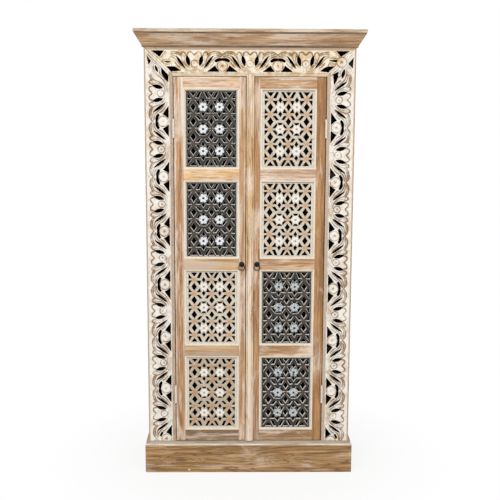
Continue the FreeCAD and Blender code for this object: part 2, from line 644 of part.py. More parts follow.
# Doors: stiles and rails with mortise and tenon joints, grooved for the panels.
TENON = "(rail_width - 2*panel_groove)"
DOOR_DEPTH = (FRONT, DOOR_BACK)
GROOVE_DEPTH = (GROOVE_FRONT, GROOVE_BACK)
TENON_DEPTH = (GROOVE_FRONT, f"{GROOVE_BACK} - joint_clearance")
STILE_IN = f"({HINGE_GAP} + hinge_stile)"
STILE_OUT = f"({STILE_IN} + {PANEL_OPEN})"
for side, sign in (("left", -1), ("right", 1)):
    door = f"{side}_door"
    meeting_width = "meeting_stile" if sign < 0 else "(meeting_stile + strip_width)"
    pull_across = f"{STILE_OUT} + pull_inset"
    pull_x = span(sign, pull_across, pull_across)[0]
    stile_spans = (("hinge", HINGE_GAP, STILE_IN), ("meeting", STILE_OUT, f"{STILE_OUT} + {meeting_width}"))
    for kind, low, high in stile_spans:
        blank = board(f"{door}_{kind}_blank", span(sign, low, high), DOOR_DEPTH, (DOOR_LOW, DOOR_HIGH))
        tools = []
        for bay in range(5):
            if kind == "hinge":
                mortise = span(sign, f"{high} - tenon_length", high)
                groove = span(sign, f"{high} - panel_groove", high)
            else:
                mortise = span(sign, low, f"{low} + tenon_length")
                groove = span(sign, low, f"{low} + panel_groove")
            base = f"({DOOR_LOW} + {bay}*{BAY} + panel_groove)"
            tools.append(board(f"{door}_{kind}_mortise_{bay}", mortise, GROOVE_DEPTH,
                               (base, f"{base} + {TENON}")))
            if bay < 4:
                top = f"({DOOR_LOW} + {bay + 1}*{BAY} + panel_groove)"
                tools.append(board(f"{door}_{kind}_groove_{bay}", groove, GROOVE_DEPTH,
                                   (f"{base} + {TENON}", top)))
        if kind == "meeting":
            tools.append(rod(f"{door}_pull_hole", "shank_radius + shank_clearance", f"{DOOR_BACK} - {FRONT}",
                             (pull_x, DOOR_BACK, PULL_Z), "-y"))
        keep(cut(f"{door}_{kind}_cut", blank, tools), f"{door}_{kind}_stile")
    rails = []
    for bay in range(5):
        base = f"({DOOR_LOW} + {bay}*{BAY})"
        rail = board(f"{door}_rail_{bay}_blank", span(sign, STILE_IN, STILE_OUT), DOOR_DEPTH,
                     (base, f"{base} + rail_width"))
        reach = "(tenon_length - joint_clearance)"
        tenon = board(f"{door}_rail_{bay}_tenon",
                      span(sign, f"{STILE_IN} - {reach}", f"{STILE_OUT} + {reach}"),
                      TENON_DEPTH, (f"{base} + panel_groove", f"{base} + panel_groove + {TENON}"))
        tools = []
        if bay > 0:
            tools.append(board(f"{door}_rail_{bay}_under", span(sign, STILE_IN, STILE_OUT), GROOVE_DEPTH,
                               (base, f"{base} + panel_groove")))
        if bay < 4:
            tools.append(board(f"{door}_rail_{bay}_over", span(sign, STILE_IN, STILE_OUT), GROOVE_DEPTH,
                               (f"{base} + rail_width - panel_groove", f"{base} + rail_width")))
        grooved = cut(f"{door}_rail_{bay}_grooved", rail, tools)
        rails.append(joined(f"{door}_rail_{bay}", [grooved, tenon]))
    lock_hole = rod(f"{door}_tenon_hole", "shank_radius + shank_clearance", f"{DOOR_BACK} - {FRONT}",
                    (pull_x, DOOR_BACK, PULL_Z), "-y")
    rails[2] = cut(f"{door}_lock_rail", rails[2], [lock_hole])
    keep(rails[0], f"{door}_bottom_rail")
    keep(group(f"{door}_rails", rails[1:4]), f"{door}_mid_rails")
    keep(rails[4], f"{door}_top_rail")

    opening_low, opening_high = (size(edge) for edge in span(sign, STILE_IN, STILE_OUT))
    middle_x = (opening_low + opening_high)/2
    beads = []
    for number in range(1, 5):
        middle_z = size(f"{DOOR_HIGH} - {number}*{BAY} + {PANEL_TALL}/2")
        panel = shaped(f"{door}_jali_{number}", lattice.copy())
        panel.Placement = FreeCAD.Placement(
            FreeCAD.Vector(middle_x, size(GROOVE_FRONT), middle_z), FreeCAD.Rotation())
        beads += bead_frame(middle_x, middle_z)
    shaped(f"{door}_beads", Part.makeCompound(beads))

    keep(group(f"{door}_leaves", door_leaves[side]), f"{door}_hinge_leaves")
    keep(group(f"{door}_screws", door_screws[side]), f"{door}_hinge_screws")
    strike = ("-catch_offset - catch_width", "-catch_offset")
    if sign > 0:
        strike = ("catch_offset", "catch_offset + catch_width")
    keep(board(f"{door}_strike", strike, (DOOR_BACK, f"{DOOR_BACK} + strike_thick"),
               (f"{STOP_LOW} - catch_height + strike_margin", f"{STOP_LOW} - strike_margin")),
         f"{door}_strike_plate")

    # Ring pull: a rose against the stile, an eye with its shank through it, a loose ring.
    rose = taper(f"{door}_rose_blank", "rose_radius", "rose_face", "rose_height",
                 (pull_x, FRONT, PULL_Z), "-y")
    rose_bore = rod(f"{door}_rose_bore", "shank_radius + shank_clearance", "rose_height",
                    (pull_x, FRONT, PULL_Z), "-y")
    keep(cut(f"{door}_rose", rose, [rose_bore]), f"{side}_pull_rose")
    shank = rod(f"{door}_shank", "shank_radius", f"{DOOR_BACK} + shank_tail - {EYE_Y}",
                (pull_x, f"{DOOR_BACK} + shank_tail", PULL_Z), "-y")
    eye = rod(f"{door}_eye_boss", "eye_radius", "eye_width", (f"{pull_x} - eye_width/2", EYE_Y, PULL_Z), "x")
    eye_bore = rod(f"{door}_eye_bore", "ring_wire + ring_clearance", "2*eye_radius",
                   (f"{pull_x} - eye_radius", EYE_Y, PULL_Z), "x")
    keep(cut(f"{door}_eye", joined(f"{door}_eye_blank", [shank, eye]), [eye_bore]), f"{side}_pull_eye")
    ring = doc.addObject("Part::Torus", f"{door}_ring")
    ring.setExpression("Radius1", bound("ring_radius"))
    ring.setExpression("Radius2", bound("ring_wire"))
    turn(ring, "-y")
    place(ring, pull_x, EYE_Y, f"{PULL_Z} - ring_radius")
    keep(ring, f"{side}_pull_ring")

# Cover strip: a moulding with a bead on each edge, planted on the right door at the meeting line.
STRIP_X = f"({HALF_OPENING} - ({STILE_OUT} + meeting_stile + strip_width))"
VALLEY = f"({FRONT} - strip_thick + strip_groove)"
CREST = f"({FRONT} - strip_thick)"
cover = moulding("cover", [
    ("0", FRONT),
    ("strip_width", FRONT),
    ("strip_width", VALLEY),
    ("strip_width - strip_bead/2", CREST),
    ("strip_width - strip_bead", VALLEY),
    ("strip_width - strip_bead - strip_groove", CREST),
    ("strip_bead + strip_groove", CREST),
    ("strip_bead", VALLEY),
    ("strip_bead/2", CREST),
    ("0", VALLEY)], f"{DOOR_HIGH} + strip_rise - {DOOR_LOW}", "XY_Plane")
place(cover, STRIP_X, "0", DOOR_LOW)
keep(cover, "right_door_cover_strip")

doc.recompute()
for item in doc.Objects:
    if "Invalid" in item.State or "Error" in item.State:
        raise RuntimeError(f"{item.Name} did not build")
os.makedirs("parts", exist_ok=True)
for item in subparts:
    if item.Shape.isNull() or not item.Shape.isValid():
        raise RuntimeError(f"{item.Label} has no valid shape")
    item.Shape.exportStep(f"parts/{item.Label}.step")
print(len(subparts), "sub-parts written")
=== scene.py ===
# %% [markdown]
# # A tall limed cabinet with carved borders and pierced doors
# The cabinet is mango wood: a plain carcass, two framed doors with pierced panels, and a carved
# border round the doors. FreeCAD made every piece at its real size. Here the frame is loaded, and
# the carving, the pierced panels and the finishes are made around it, in the same place.

# %% Load the frame
import math

import bpy
import numpy as np
from mathutils import Matrix, Vector
from mathutils.geometry import delaunay_2d_cdt


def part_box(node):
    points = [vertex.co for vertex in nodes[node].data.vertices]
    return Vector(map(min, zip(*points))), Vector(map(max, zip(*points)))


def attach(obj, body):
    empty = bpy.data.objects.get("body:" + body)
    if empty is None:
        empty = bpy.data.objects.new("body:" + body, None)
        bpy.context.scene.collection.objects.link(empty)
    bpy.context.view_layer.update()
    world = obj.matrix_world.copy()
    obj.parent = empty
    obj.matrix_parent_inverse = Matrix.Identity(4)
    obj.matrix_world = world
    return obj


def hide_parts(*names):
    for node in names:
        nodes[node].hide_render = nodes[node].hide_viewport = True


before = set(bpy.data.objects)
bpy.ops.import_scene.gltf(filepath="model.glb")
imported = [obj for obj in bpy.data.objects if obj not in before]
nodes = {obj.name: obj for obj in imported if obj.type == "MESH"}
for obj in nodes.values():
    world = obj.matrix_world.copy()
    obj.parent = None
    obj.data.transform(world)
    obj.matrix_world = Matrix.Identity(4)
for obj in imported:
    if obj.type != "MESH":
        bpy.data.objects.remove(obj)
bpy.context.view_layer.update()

MM = 0.001


# %% [markdown]
# ## Helpers
# A shader is a graph, so one function adds a node, sets its properties and links its inputs.
# Colours are written as the eye reads them, in sRGB hex, and turned to the linear values that
# Blender mixes light with.

# %% Node and colour helpers
def add(tree, kind, inputs=None, **settings):
    """Add a node, set its properties, then link inputs given a socket and fill the others."""
    made = tree.nodes.new(kind)
    for key, value in settings.items():
        setattr(made, key, value)
    for key, value in (inputs or {}).items():
        if isinstance(value, bpy.types.NodeSocket):
            tree.links.new(value, made.inputs[key])
        else:
            made.inputs[key].default_value = value
    return made


def tone(code):
    """Linear colour of an sRGB hex code."""
    parts = [int(code[place:place + 2], 16)/255 for place in (1, 3, 5)]
    return [part/12.92 if part <= 0.04045 else ((part + 0.055)/1.055)**2.4 for part in parts] + [1.0]


def finish_of(name):
    """A new material, its node tree and its shader."""
    material = bpy.data.materials.new(name)
    material.use_nodes = True
    print("finish:", name)
    return material, material.node_tree, material.node_tree.nodes["Principled BSDF"]


def feed(tree, shader, sources):
    """Link what a finish worked out to its shader, by the names of the shader's inputs."""
    for name, source in sources.items():
        tree.links.new(source, shader.inputs[name])


print("middle grey #808080 as linear light:", round(tone("#808080")[0], 3))


# %% [markdown]
# A piece is a mesh that rides on one moving body of the cabinet. Its place is in its points, in
# metres, so its object stays at the origin. Faces that meet at a small angle are shaded as one
# smooth surface, and sharper edges stay crisp.

# %% Piece helpers
CRISP = math.radians(38)


def hold(made, body, replaced=()):
    """Let a finished piece ride on its body, and hide the solids it stands for."""
    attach(made, body)
    if replaced:
        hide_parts(*replaced)
    print(f"{made.name}: {len(made.data.polygons)} faces on {body}")


def piece(name, points, faces, materials, body, replaced=(), marks=None, indices=None):
    """A mesh piece in metres that rides on a body; marks are values per point for its material."""
    mesh = bpy.data.meshes.new(name)
    mesh.from_pydata([tuple(point) for point in points], [], [tuple(face) for face in faces])
    for material in materials:
        mesh.materials.append(material)
    if indices is not None:
        mesh.polygons.foreach_set("material_index", np.asarray(indices, dtype=np.int32))
    for mark, values in (marks or {}).items():
        attribute = mesh.attributes.new(mark, "FLOAT", "POINT")
        attribute.data.foreach_set("value", np.asarray(values, dtype=np.float32))
    mesh.shade_smooth()
    mesh.set_sharp_from_angle(angle=CRISP)
    made = bpy.data.objects.new(name, mesh)
    bpy.context.scene.collection.objects.link(made)
    hold(made, body, replaced)


print("edges stay crisp past", round(math.degrees(CRISP)), "degrees")


# %% [markdown]
# ## Limed mango wood
# The boards were planed, limed with a white wash and rubbed back, so the wash stays in patches and
# in the open pores. A photo of wood could be wrapped round each board, but its grain would stop
# at the edges. Noise in three dimensions, stretched along the board, runs through the timber
# instead, and end grain comes out right by itself. The fibres of real mango are under a
# millimetre wide; they are drawn about four times as wide so that they show from a few metres.

# %% Bare timber
FIGURE = 24*MM
FIBRE = 3.6*MM
STREAK = 8*MM
GROWTH = 40*MM
RINGS = 9.0
KNOT_SPACING = 170*MM
GRAIN_STRETCH = 0.045
KNOT_STRETCH = 0.35
RING_TONE = "#5E3F23"
STREAK_TONE = "#7A5230"
KNOT_TONE = "#5A3C24"


def stretched(along, share):
    """Scales for a pattern that is drawn out along one axis, to 1/share times its length."""
    return [share if axis == along else 1.0 for axis in "XYZ"]


def bare_timber(tree, place, along, dark, light, knots, rings):
    """Colour of planed wood with its grain along an axis, and its fibres, which the wash follows.
    Broad figure comes first, then pores, growth rings that swirl round the knots, and streaks."""
    drawn = add(tree, "ShaderNodeMapping", {
        "Vector": place, "Scale": stretched(along, GRAIN_STRETCH)}).outputs[0]
    figure = add(tree, "ShaderNodeTexNoise", {
        "Vector": drawn, "Scale": 1/FIGURE, "Detail": 5.0, "Roughness": 0.6, "Distortion": 1.8}).outputs[0]
    fibre = add(tree, "ShaderNodeTexNoise", {
        "Vector": drawn, "Scale": 1/FIBRE, "Detail": 3.0, "Roughness": 0.7}).outputs[0]
    streak = add(tree, "ShaderNodeTexNoise", {
        "Vector": drawn, "Scale": 1/STREAK, "Detail": 4.0, "Roughness": 0.55, "Distortion": 0.8}).outputs[0]
    depth = add(tree, "ShaderNodeMapRange", {"Value": figure, "From Min": 0.41, "From Max": 0.59}).outputs[0]
    pore = add(tree, "ShaderNodeMapRange", {
        "Value": fibre, "From Min": 0.36, "From Max": 0.56, "To Min": 0.6, "To Max": 0.0}).outputs[0]
    grown = add(tree, "ShaderNodeMapping", {
        "Vector": place, "Scale": stretched(along, 2*GRAIN_STRETCH)}).outputs[0]
    growth = add(tree, "ShaderNodeTexNoise", {
        "Vector": grown, "Scale": 1/GROWTH, "Detail": 2.0, "Roughness": 0.45, "Distortion": 0.7}).outputs[0]
    if knots:
        eased = add(tree, "ShaderNodeMapping", {
            "Vector": place, "Scale": stretched(along, KNOT_STRETCH)}).outputs[0]
        near = add(tree, "ShaderNodeTexVoronoi", {
            "Vector": eased, "Scale": 1/KNOT_SPACING}).outputs["Distance"]
        swirl = add(tree, "ShaderNodeMapRange", {
            "Value": near, "From Max": 0.22, "To Min": 0.5*knots, "To Max": 0.0}).outputs[0]
        growth = add(tree, "ShaderNodeMath", {0: growth, 1: swirl}).outputs[0]
    ring = add(tree, "ShaderNodeMath", {0: growth, 1: RINGS}, operation="MULTIPLY").outputs[0]
    ring = add(tree, "ShaderNodeMath", {0: ring, 1: 0.5}, operation="PINGPONG").outputs[0]
    ring = add(tree, "ShaderNodeMapRange", {
        "Value": ring, "From Min": 0.0, "From Max": 0.17, "To Min": rings, "To Max": 0.0}).outputs[0]
    line = add(tree, "ShaderNodeMapRange", {
        "Value": streak, "From Min": 0.33, "From Max": 0.43, "To Min": 0.75, "To Max": 0.0}).outputs[0]
    layers = [(depth, light), (pore, dark), (ring, RING_TONE), (line, STREAK_TONE)]
    if knots:
        knot = add(tree, "ShaderNodeMapRange", {
            "Value": near, "From Min": 0.02, "From Max": 0.09, "To Min": knots, "To Max": 0.0},
            interpolation_type="SMOOTHSTEP").outputs[0]
        layers.append((knot, KNOT_TONE))
    timber = tone(dark)
    for share, stain in layers:
        timber = add(tree, "ShaderNodeMix", {
            0: share, 6: timber, 7: tone(stain)}, data_type="RGBA").outputs[2]
    return timber, fibre


print("knots about every", KNOT_SPACING, "metres")


# %% [markdown]
# The wash lies over the timber in patches, more of it where the fibres are open. Bands of a tone
# come in along an axis: a painted shadow in a crease, a painted highlight and painted shade on a
# bevel, and dark stain that also paints in the shade on the faces that look inside. Last come small
# white chips. Wash is chalkier than bare wood, so it is rougher too.

# %% Wash over the timber
PATCH = 60*MM
PATCH_STRETCH = 0.2
PATCH_START = (3.1, 1.7, 5.2)
BOARD_SHIFT = (0.43, 0.31, 0.77)
CHIP_SPACING = 32*MM
CHIP_TONE = "#F3EADC"


def limed_wood(name, dark, light, wash, cover, along, board=None, knots=0.0, bands=(),
               rings=0.3, chips=0.12):
    """Limed wood with its grain along an axis; cover is the share of wash that was left on.
    board is an axis and a width: each board of a wall gets grain of its own. bands are an axis,
    two places between which a tone comes in, and its strength. chips is the share of white specks."""
    material, tree, shader = finish_of(name)
    place = add(tree, "ShaderNodeTexCoord").outputs["Object"]
    parts = add(tree, "ShaderNodeSeparateXYZ", {0: place}).outputs
    if board:
        axis, width = board
        count = add(tree, "ShaderNodeMath", {0: parts[axis], 1: width}, operation="DIVIDE").outputs[0]
        step = add(tree, "ShaderNodeMath", {0: count}, operation="FLOOR").outputs[0]
        shift = add(tree, "ShaderNodeVectorMath", {0: BOARD_SHIFT, "Scale": step}, operation="SCALE")
        place = add(tree, "ShaderNodeVectorMath", {0: place, 1: shift.outputs[0]}).outputs[0]
    colour, fibre = bare_timber(tree, place, along, dark, light, knots, rings)
    laid = add(tree, "ShaderNodeMapping", {
        "Vector": place, "Scale": stretched(along, PATCH_STRETCH), "Location": PATCH_START}).outputs[0]
    patch = add(tree, "ShaderNodeTexNoise", {
        "Vector": laid, "Scale": 1/PATCH, "Detail": 8.0, "Roughness": 0.7, "Distortion": 0.6}).outputs[0]
    film = add(tree, "ShaderNodeMath", {0: fibre, 1: 0.3, 2: patch}, operation="MULTIPLY_ADD").outputs[0]
    limed = add(tree, "ShaderNodeMapRange", {
        "Value": film, "From Min": 0.78 - 0.3*cover, "From Max": 0.9 - 0.3*cover,
        "To Max": 0.35 + 0.6*cover}).outputs[0]
    layers = [(limed, wash)]
    for axis, low, high, stain, strength in bands:
        share = add(tree, "ShaderNodeMapRange", {
            "Value": parts[axis], "From Min": low, "From Max": high, "To Max": strength}).outputs[0]
        broken = add(tree, "ShaderNodeMapRange", {
            "Value": film, "From Min": 0.52, "From Max": 0.74, "To Min": 0.2}).outputs[0]
        share = add(tree, "ShaderNodeMath", {0: share, 1: broken}, operation="MULTIPLY").outputs[0]
        layers.append((share, stain))
    speck = add(tree, "ShaderNodeTexVoronoi", {"Vector": place, "Scale": 1/CHIP_SPACING}).outputs
    chosen = add(tree, "ShaderNodeMath", {0: speck["Color"], 1: chips}, operation="LESS_THAN").outputs[0]
    ragged = add(tree, "ShaderNodeMath", {
        0: fibre, 1: 0.6, 2: speck["Distance"]}, operation="MULTIPLY_ADD").outputs[0]
    chip = add(tree, "ShaderNodeMapRange", {
        "Value": ragged, "From Min": 0.4, "From Max": 0.46, "To Min": 0.9, "To Max": 0.0}).outputs[0]
    chip = add(tree, "ShaderNodeMath", {0: chip, 1: chosen}, operation="MULTIPLY").outputs[0]
    for share, stain in [*layers, (chip, CHIP_TONE)]:
        colour = add(tree, "ShaderNodeMix", {
            0: share, 6: colour, 7: tone(stain)}, data_type="RGBA").outputs[2]
    gloss = add(tree, "ShaderNodeMapRange", {"Value": limed, "To Min": 0.58, "To Max": 0.82}).outputs[0]
    bump = add(tree, "ShaderNodeBump", {"Height": film, "Strength": 0.35, "Distance": 0.8*MM}).outputs[0]
    feed(tree, shader, {"Base Color": colour, "Roughness": gloss, "Normal": bump})
    return material


print("patches of wash about", PATCH, "metres wide")


# %% [markdown]
# The stiles and rails of the doors came from different planks, so each has tones of its own. On
# some of them the rubbing cloth missed the long edges, and a line of wash was left there.

# %% Woods of the doors
WASH = "#EFE0D0"
EDGE_WASH = "#F3EADD"
EDGE_WIDE = 10*MM
EDGE_FULL = 1*MM


def edge_wash(node, axis, strength):
    """Bands of wash along both long edges of a stile or rail."""
    low, high = [corner["XYZ".index(axis)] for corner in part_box(node)]
    return ((axis, low + EDGE_WIDE, low + EDGE_FULL, EDGE_WASH, strength),
            (axis, high - EDGE_WIDE, high - EDGE_FULL, EDGE_WASH, strength))


# Node: name, dark and light tone, share of wash, strength of the knots, bands
PLANKS = {
    "left_door_hinge_stile": (
        "stile_1", "#9A6A3D", "#D0A275", 0.46, 0.6, edge_wash("left_door_hinge_stile", "X", 0.75)),
    "left_door_meeting_stile": (
        "stile_2", "#AB7A48", "#D6AA7C", 0.4, 0.6, edge_wash("left_door_meeting_stile", "X", 0.6)),
    "right_door_cover_strip": ("strip", "#C0955F", "#E8C694", 0.62, 0.0, ()),
    "right_door_meeting_stile": ("stile_3", "#976C41", "#C5996C", 0.4, 0.6, ()),
    "right_door_hinge_stile": ("stile_4", "#8D6236", "#C2925F", 0.25, 0.7, ()),
    "left_door_top_rail": (
        "rail_1", "#CCA27A", "#EBCAA8", 0.72, 0.4, edge_wash("left_door_top_rail", "Z", 0.6)),
    "left_door_mid_rails": (
        "rail_2", "#CC9F6C", "#EFC895", 0.6, 0.4,
        (("Z", 1.15, 0.85, "#A48B72", 0.6), ("Z", 0.75, 0.6, "#9A8B7A", 0.4))),
    "left_door_bottom_rail": ("rail_3", "#7E6246", "#A98A6A", 0.3, 0.5, ()),
    "right_door_top_rail": ("rail_4", "#A67C53", "#D0A77E", 0.5, 0.5, ()),
    "right_door_mid_rails": (
        "rail_5", "#A67C54", "#DBB48C", 0.52, 0.6, (("Z", 1.1, 1.2, EDGE_WASH, 0.35),)),
    "right_door_bottom_rail": ("rail_6", "#8E6A47", "#B8926B", 0.35, 0.5, ()),
}
door_woods = {}
for node, (name, dark, light, cover, knots, bands) in PLANKS.items():
    along = "X" if "rail" in node else "Z"
    door_woods[node] = limed_wood(
        f"limed_mango_{name}", dark, light, WASH, cover, along, knots=knots, bands=bands)


# %% [markdown]
# The carcass shows its age more. A painted shadow line lies in each crease of the cornice, a painted
# highlight on the bevel of the plinth with painted shade under it, and the plinth has strong growth
# rings. The planks of the sides and the back are limed outside and near black on the faces that
# look inside, a dark stain that also paints in the shade of the inside.

# %% Woods of the carcass
# Tone of the painted shadow lines in the creases of the cornice
CREASE_SHADOW = "#54402C"
# Near-black stain on the faces that look inside, which also paints in the shade of the inside
INNER_STAIN_AND_SHADE = "#17100B"
STAIN_STRENGTH = 4.0


def stained(axis, face, out):
    """A band of dark stain and painted shade on the faces of a board that lie at a place and look inside."""
    return axis, face + out*1*MM, face + out*0.3*MM, INNER_STAIN_AND_SHADE, STAIN_STRENGTH


# The cornice: greyed wood with a painted shadow line in each crease
crown_low, crown_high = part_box("crown_front")
crease_shadows = (("Z", crown_high.z - 8*MM, crown_high.z - 4*MM, CREASE_SHADOW, 1.1),
           ("Z", crown_low.z + 8*MM, crown_low.z + 5*MM, CREASE_SHADOW, 1.0))
crown_tones = ("#94704C", "#C4A07A", "#DFCDB9", 0.5)
cornice_wood = limed_wood("limed_mango_cornice", *crown_tones, "X", bands=crease_shadows)
cornice_side = limed_wood("limed_mango_cornice_side", *crown_tones, "Y", bands=crease_shadows)
top_wood = limed_wood("limed_mango_top", "#9A7B57", "#C6A985", "#E0D2BF", 0.65, "X")
# The plinth: strong rings and knots under a thin wash, a painted highlight line on its bevel, and a band of
# painted shade under it
plinth_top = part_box("plinth_front")[1].z
# A painted highlight on the bevel, then painted shade just below it
bevel_light_and_shade = (("Z", plinth_top - 17*MM, plinth_top - 14*MM, "#EFE7DA", 1.05),
              ("Z", plinth_top - 12*MM, plinth_top - 8*MM, "#9D8A72", 0.95))
plinth_tones = ("#8A653A", "#C49C69", "#E2D3BE", 0.3)
plinth_age = {"knots": 0.85, "rings": 0.8, "chips": 0.14}
plinth_wood = limed_wood("limed_mango_plinth", *plinth_tones, "X", bands=bevel_light_and_shade, **plinth_age)
plinth_side = limed_wood("limed_mango_plinth_side", *plinth_tones, "Y", **plinth_age)
# Sides and back: streaks of wash, and grain that changes from plank to plank
side_low, side_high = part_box("side_left")
side_planks = {}
for side, out in (("left", -1), ("right", 1)):
    side_planks[f"side_{side}"] = limed_wood(
        f"limed_mango_side_{side}", "#A0754B", "#C99F74", "#E8DACA", 0.5, "Z",
        board=("Y", (side_high.y - side_low.y)/3), knots=0.5,
        bands=(stained("X", out*abs(side_high.x), out), stained("Y", side_low.y, 1)))
back_low, back_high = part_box("back_boards")
back_plank = limed_wood(
    "limed_mango_back_boards", "#9A714A", "#BE966C", "#DCCDBA", 0.4, "Z",
    board=("X", (back_high.x - back_low.x)/6), knots=0.6, bands=(stained("Y", back_low.y, 1),))
# The inside: dark stain and painted shade, so dark that the openings of the doors read as black
inner_wood = limed_wood("stained_and_shaded_inner_mango", "#1C140E", "#33261B", "#4A3B2E", 0.1, "X")


# %% [markdown]
# ## White paint and metal
# The beads and rosettes were painted white and rubbed through in places. The pulls are blackened
# iron, and the hinges were limed over with the wood. The edges of the lattice kept their wash, and
# the same finish gives the sills of its openings a painted highlight. Each of these is one tone
# broken by worn patches of another, so one recipe makes them all.

# %% Worn coats
def worn_coat(name, coat, under, worn, size, rough, metallic=0.0, tooth=0.5, shade=None):
    """A coat rubbed through to what is under it; worn is the share that shows, size a patch in
    metres. shade is a painted shade for the faces that look down, which light from above reaches less."""
    material, tree, shader = finish_of(name)
    place = add(tree, "ShaderNodeTexCoord").outputs["Object"]
    patch = add(tree, "ShaderNodeTexNoise", {
        "Vector": place, "Scale": 1/size, "Detail": 7.0, "Roughness": 0.66, "Distortion": 0.4}).outputs[0]
    grit = add(tree, "ShaderNodeTexNoise", {"Vector": place, "Scale": 4/size, "Detail": 4.0}).outputs[0]
    bare = add(tree, "ShaderNodeMapRange", {
        "Value": patch, "From Min": 0.74 - 0.5*worn, "From Max": 0.86 - 0.5*worn}).outputs[0]
    cloud = add(tree, "ShaderNodeMapRange", {
        "Value": grit, "From Min": 0.35, "From Max": 0.7, "To Max": 0.3}).outputs[0]
    layers = [(bare, under), (cloud, under)]
    # Faces that look down get painted shade
    if shade:
        normal = add(tree, "ShaderNodeNewGeometry").outputs["Normal"]
        facing = add(tree, "ShaderNodeSeparateXYZ", {0: normal}).outputs["Z"]
        shade_share = add(tree, "ShaderNodeMapRange", {
            "Value": facing, "From Min": -0.1, "From Max": -0.5}).outputs[0]
        layers.append((shade_share, shade))
    colour = tone(coat)
    for share, other in layers:
        colour = add(tree, "ShaderNodeMix", {
            0: share, 6: colour, 7: tone(other)}, data_type="RGBA").outputs[2]
    gloss = add(tree, "ShaderNodeMapRange", {
        "Value": bare, "To Min": rough, "To Max": rough + 0.18}).outputs[0]
    bump = add(tree, "ShaderNodeBump", {"Height": grit, "Strength": tooth, "Distance": 0.4*MM}).outputs[0]
    feed(tree, shader, {"Base Color": colour, "Roughness": gloss, "Normal": bump})
    shader.inputs["Metallic"].default_value = metallic
    return material


# Chalky paint on the beads: dull and warm, with wood showing where it was rubbed thin, and painted shade on
# the faces that look down
bead_white = worn_coat("rubbed_white_paint", "#E8DECE", "#C6AB8B", 0.24, 30*MM, 0.55, shade="#A39780")
# Lime left on the chamfers: a bright line round every opening, and a painted highlight on the walls at the
# sills
pale_edge = worn_coat("limed_lattice_edges", "#F7F1E7", "#D2BB9E", 0.18, 14*MM, 0.7)
dark_edge = worn_coat("charcoal_lattice_edges", "#F8F4EC", "#A89A88", 0.16, 14*MM, 0.7)
# Chalked rosettes: matt white, cool or grey on the charcoal panels, with painted shade in their sunk hearts
rosette_white = worn_coat("chalky_white_rosettes", "#F0EBE2", "#CFC3B2", 0.22, 9*MM, 0.7)
rosette_cool = worn_coat("cool_white_rosettes", "#E8EAEE", "#A6AAAE", 0.22, 7*MM, 0.7)
rosette_grey = worn_coat("grey_chalked_rosettes", "#CAD0D3", "#3C4142", 0.42, 13*MM, 0.7)
pale_heart = worn_coat("shaded_pale_rosette_hearts", "#A39A8B", "#C3BAAA", 0.2, 4*MM, 0.7)
dark_heart = worn_coat("shaded_dark_rosette_hearts", "#2C2D2C", "#4E5150", 0.2, 4*MM, 0.7)
# Forged iron, blackened: dark with a soft highlight, and greyer where it is worn
iron = worn_coat("blackened_iron", "#1E1814", "#4A423B", 0.25, 8*MM, 0.36, 0.85)
# Iron hinges limed over with the wood: pale and dull, so that they hardly show
hinge_iron = worn_coat("limed_iron_hinges", "#E6DED2", "#A78F77", 0.3, 12*MM, 0.6)
# Zinc plate on the screws and strike plates: light grey with a clear gleam
steel = worn_coat("zinc_plated_steel", "#A9A9A6", "#7C7A75", 0.2, 10*MM, 0.38, 1.0)
# Moulded plastic of the catches: brown and smooth, with a slight sheen
catch_plastic = worn_coat("brown_moulded_plastic", "#4A3526", "#5A4332", 0.2, 10*MM, 0.5, 0.0, 0.15)


# %% [markdown]
# ## Faces of the lattice
# The pierced panels come limed, rubbed back to brown, and stained charcoal. All three were rubbed
# most where the strips cross, and least beside the frame. A pattern painted by noise alone would
# not know where that is. So each point of a panel keeps its place, counted in crossings, and
# the finish works out how far the next crossing is.

# %% Lattice faces
# Spacing of the crossings in the drawn quarter of a panel, in millimetres
CROSS_WIDE = 72.5
CROSS_TALL = 58.35
RUBBED_PATCH = 20*MM


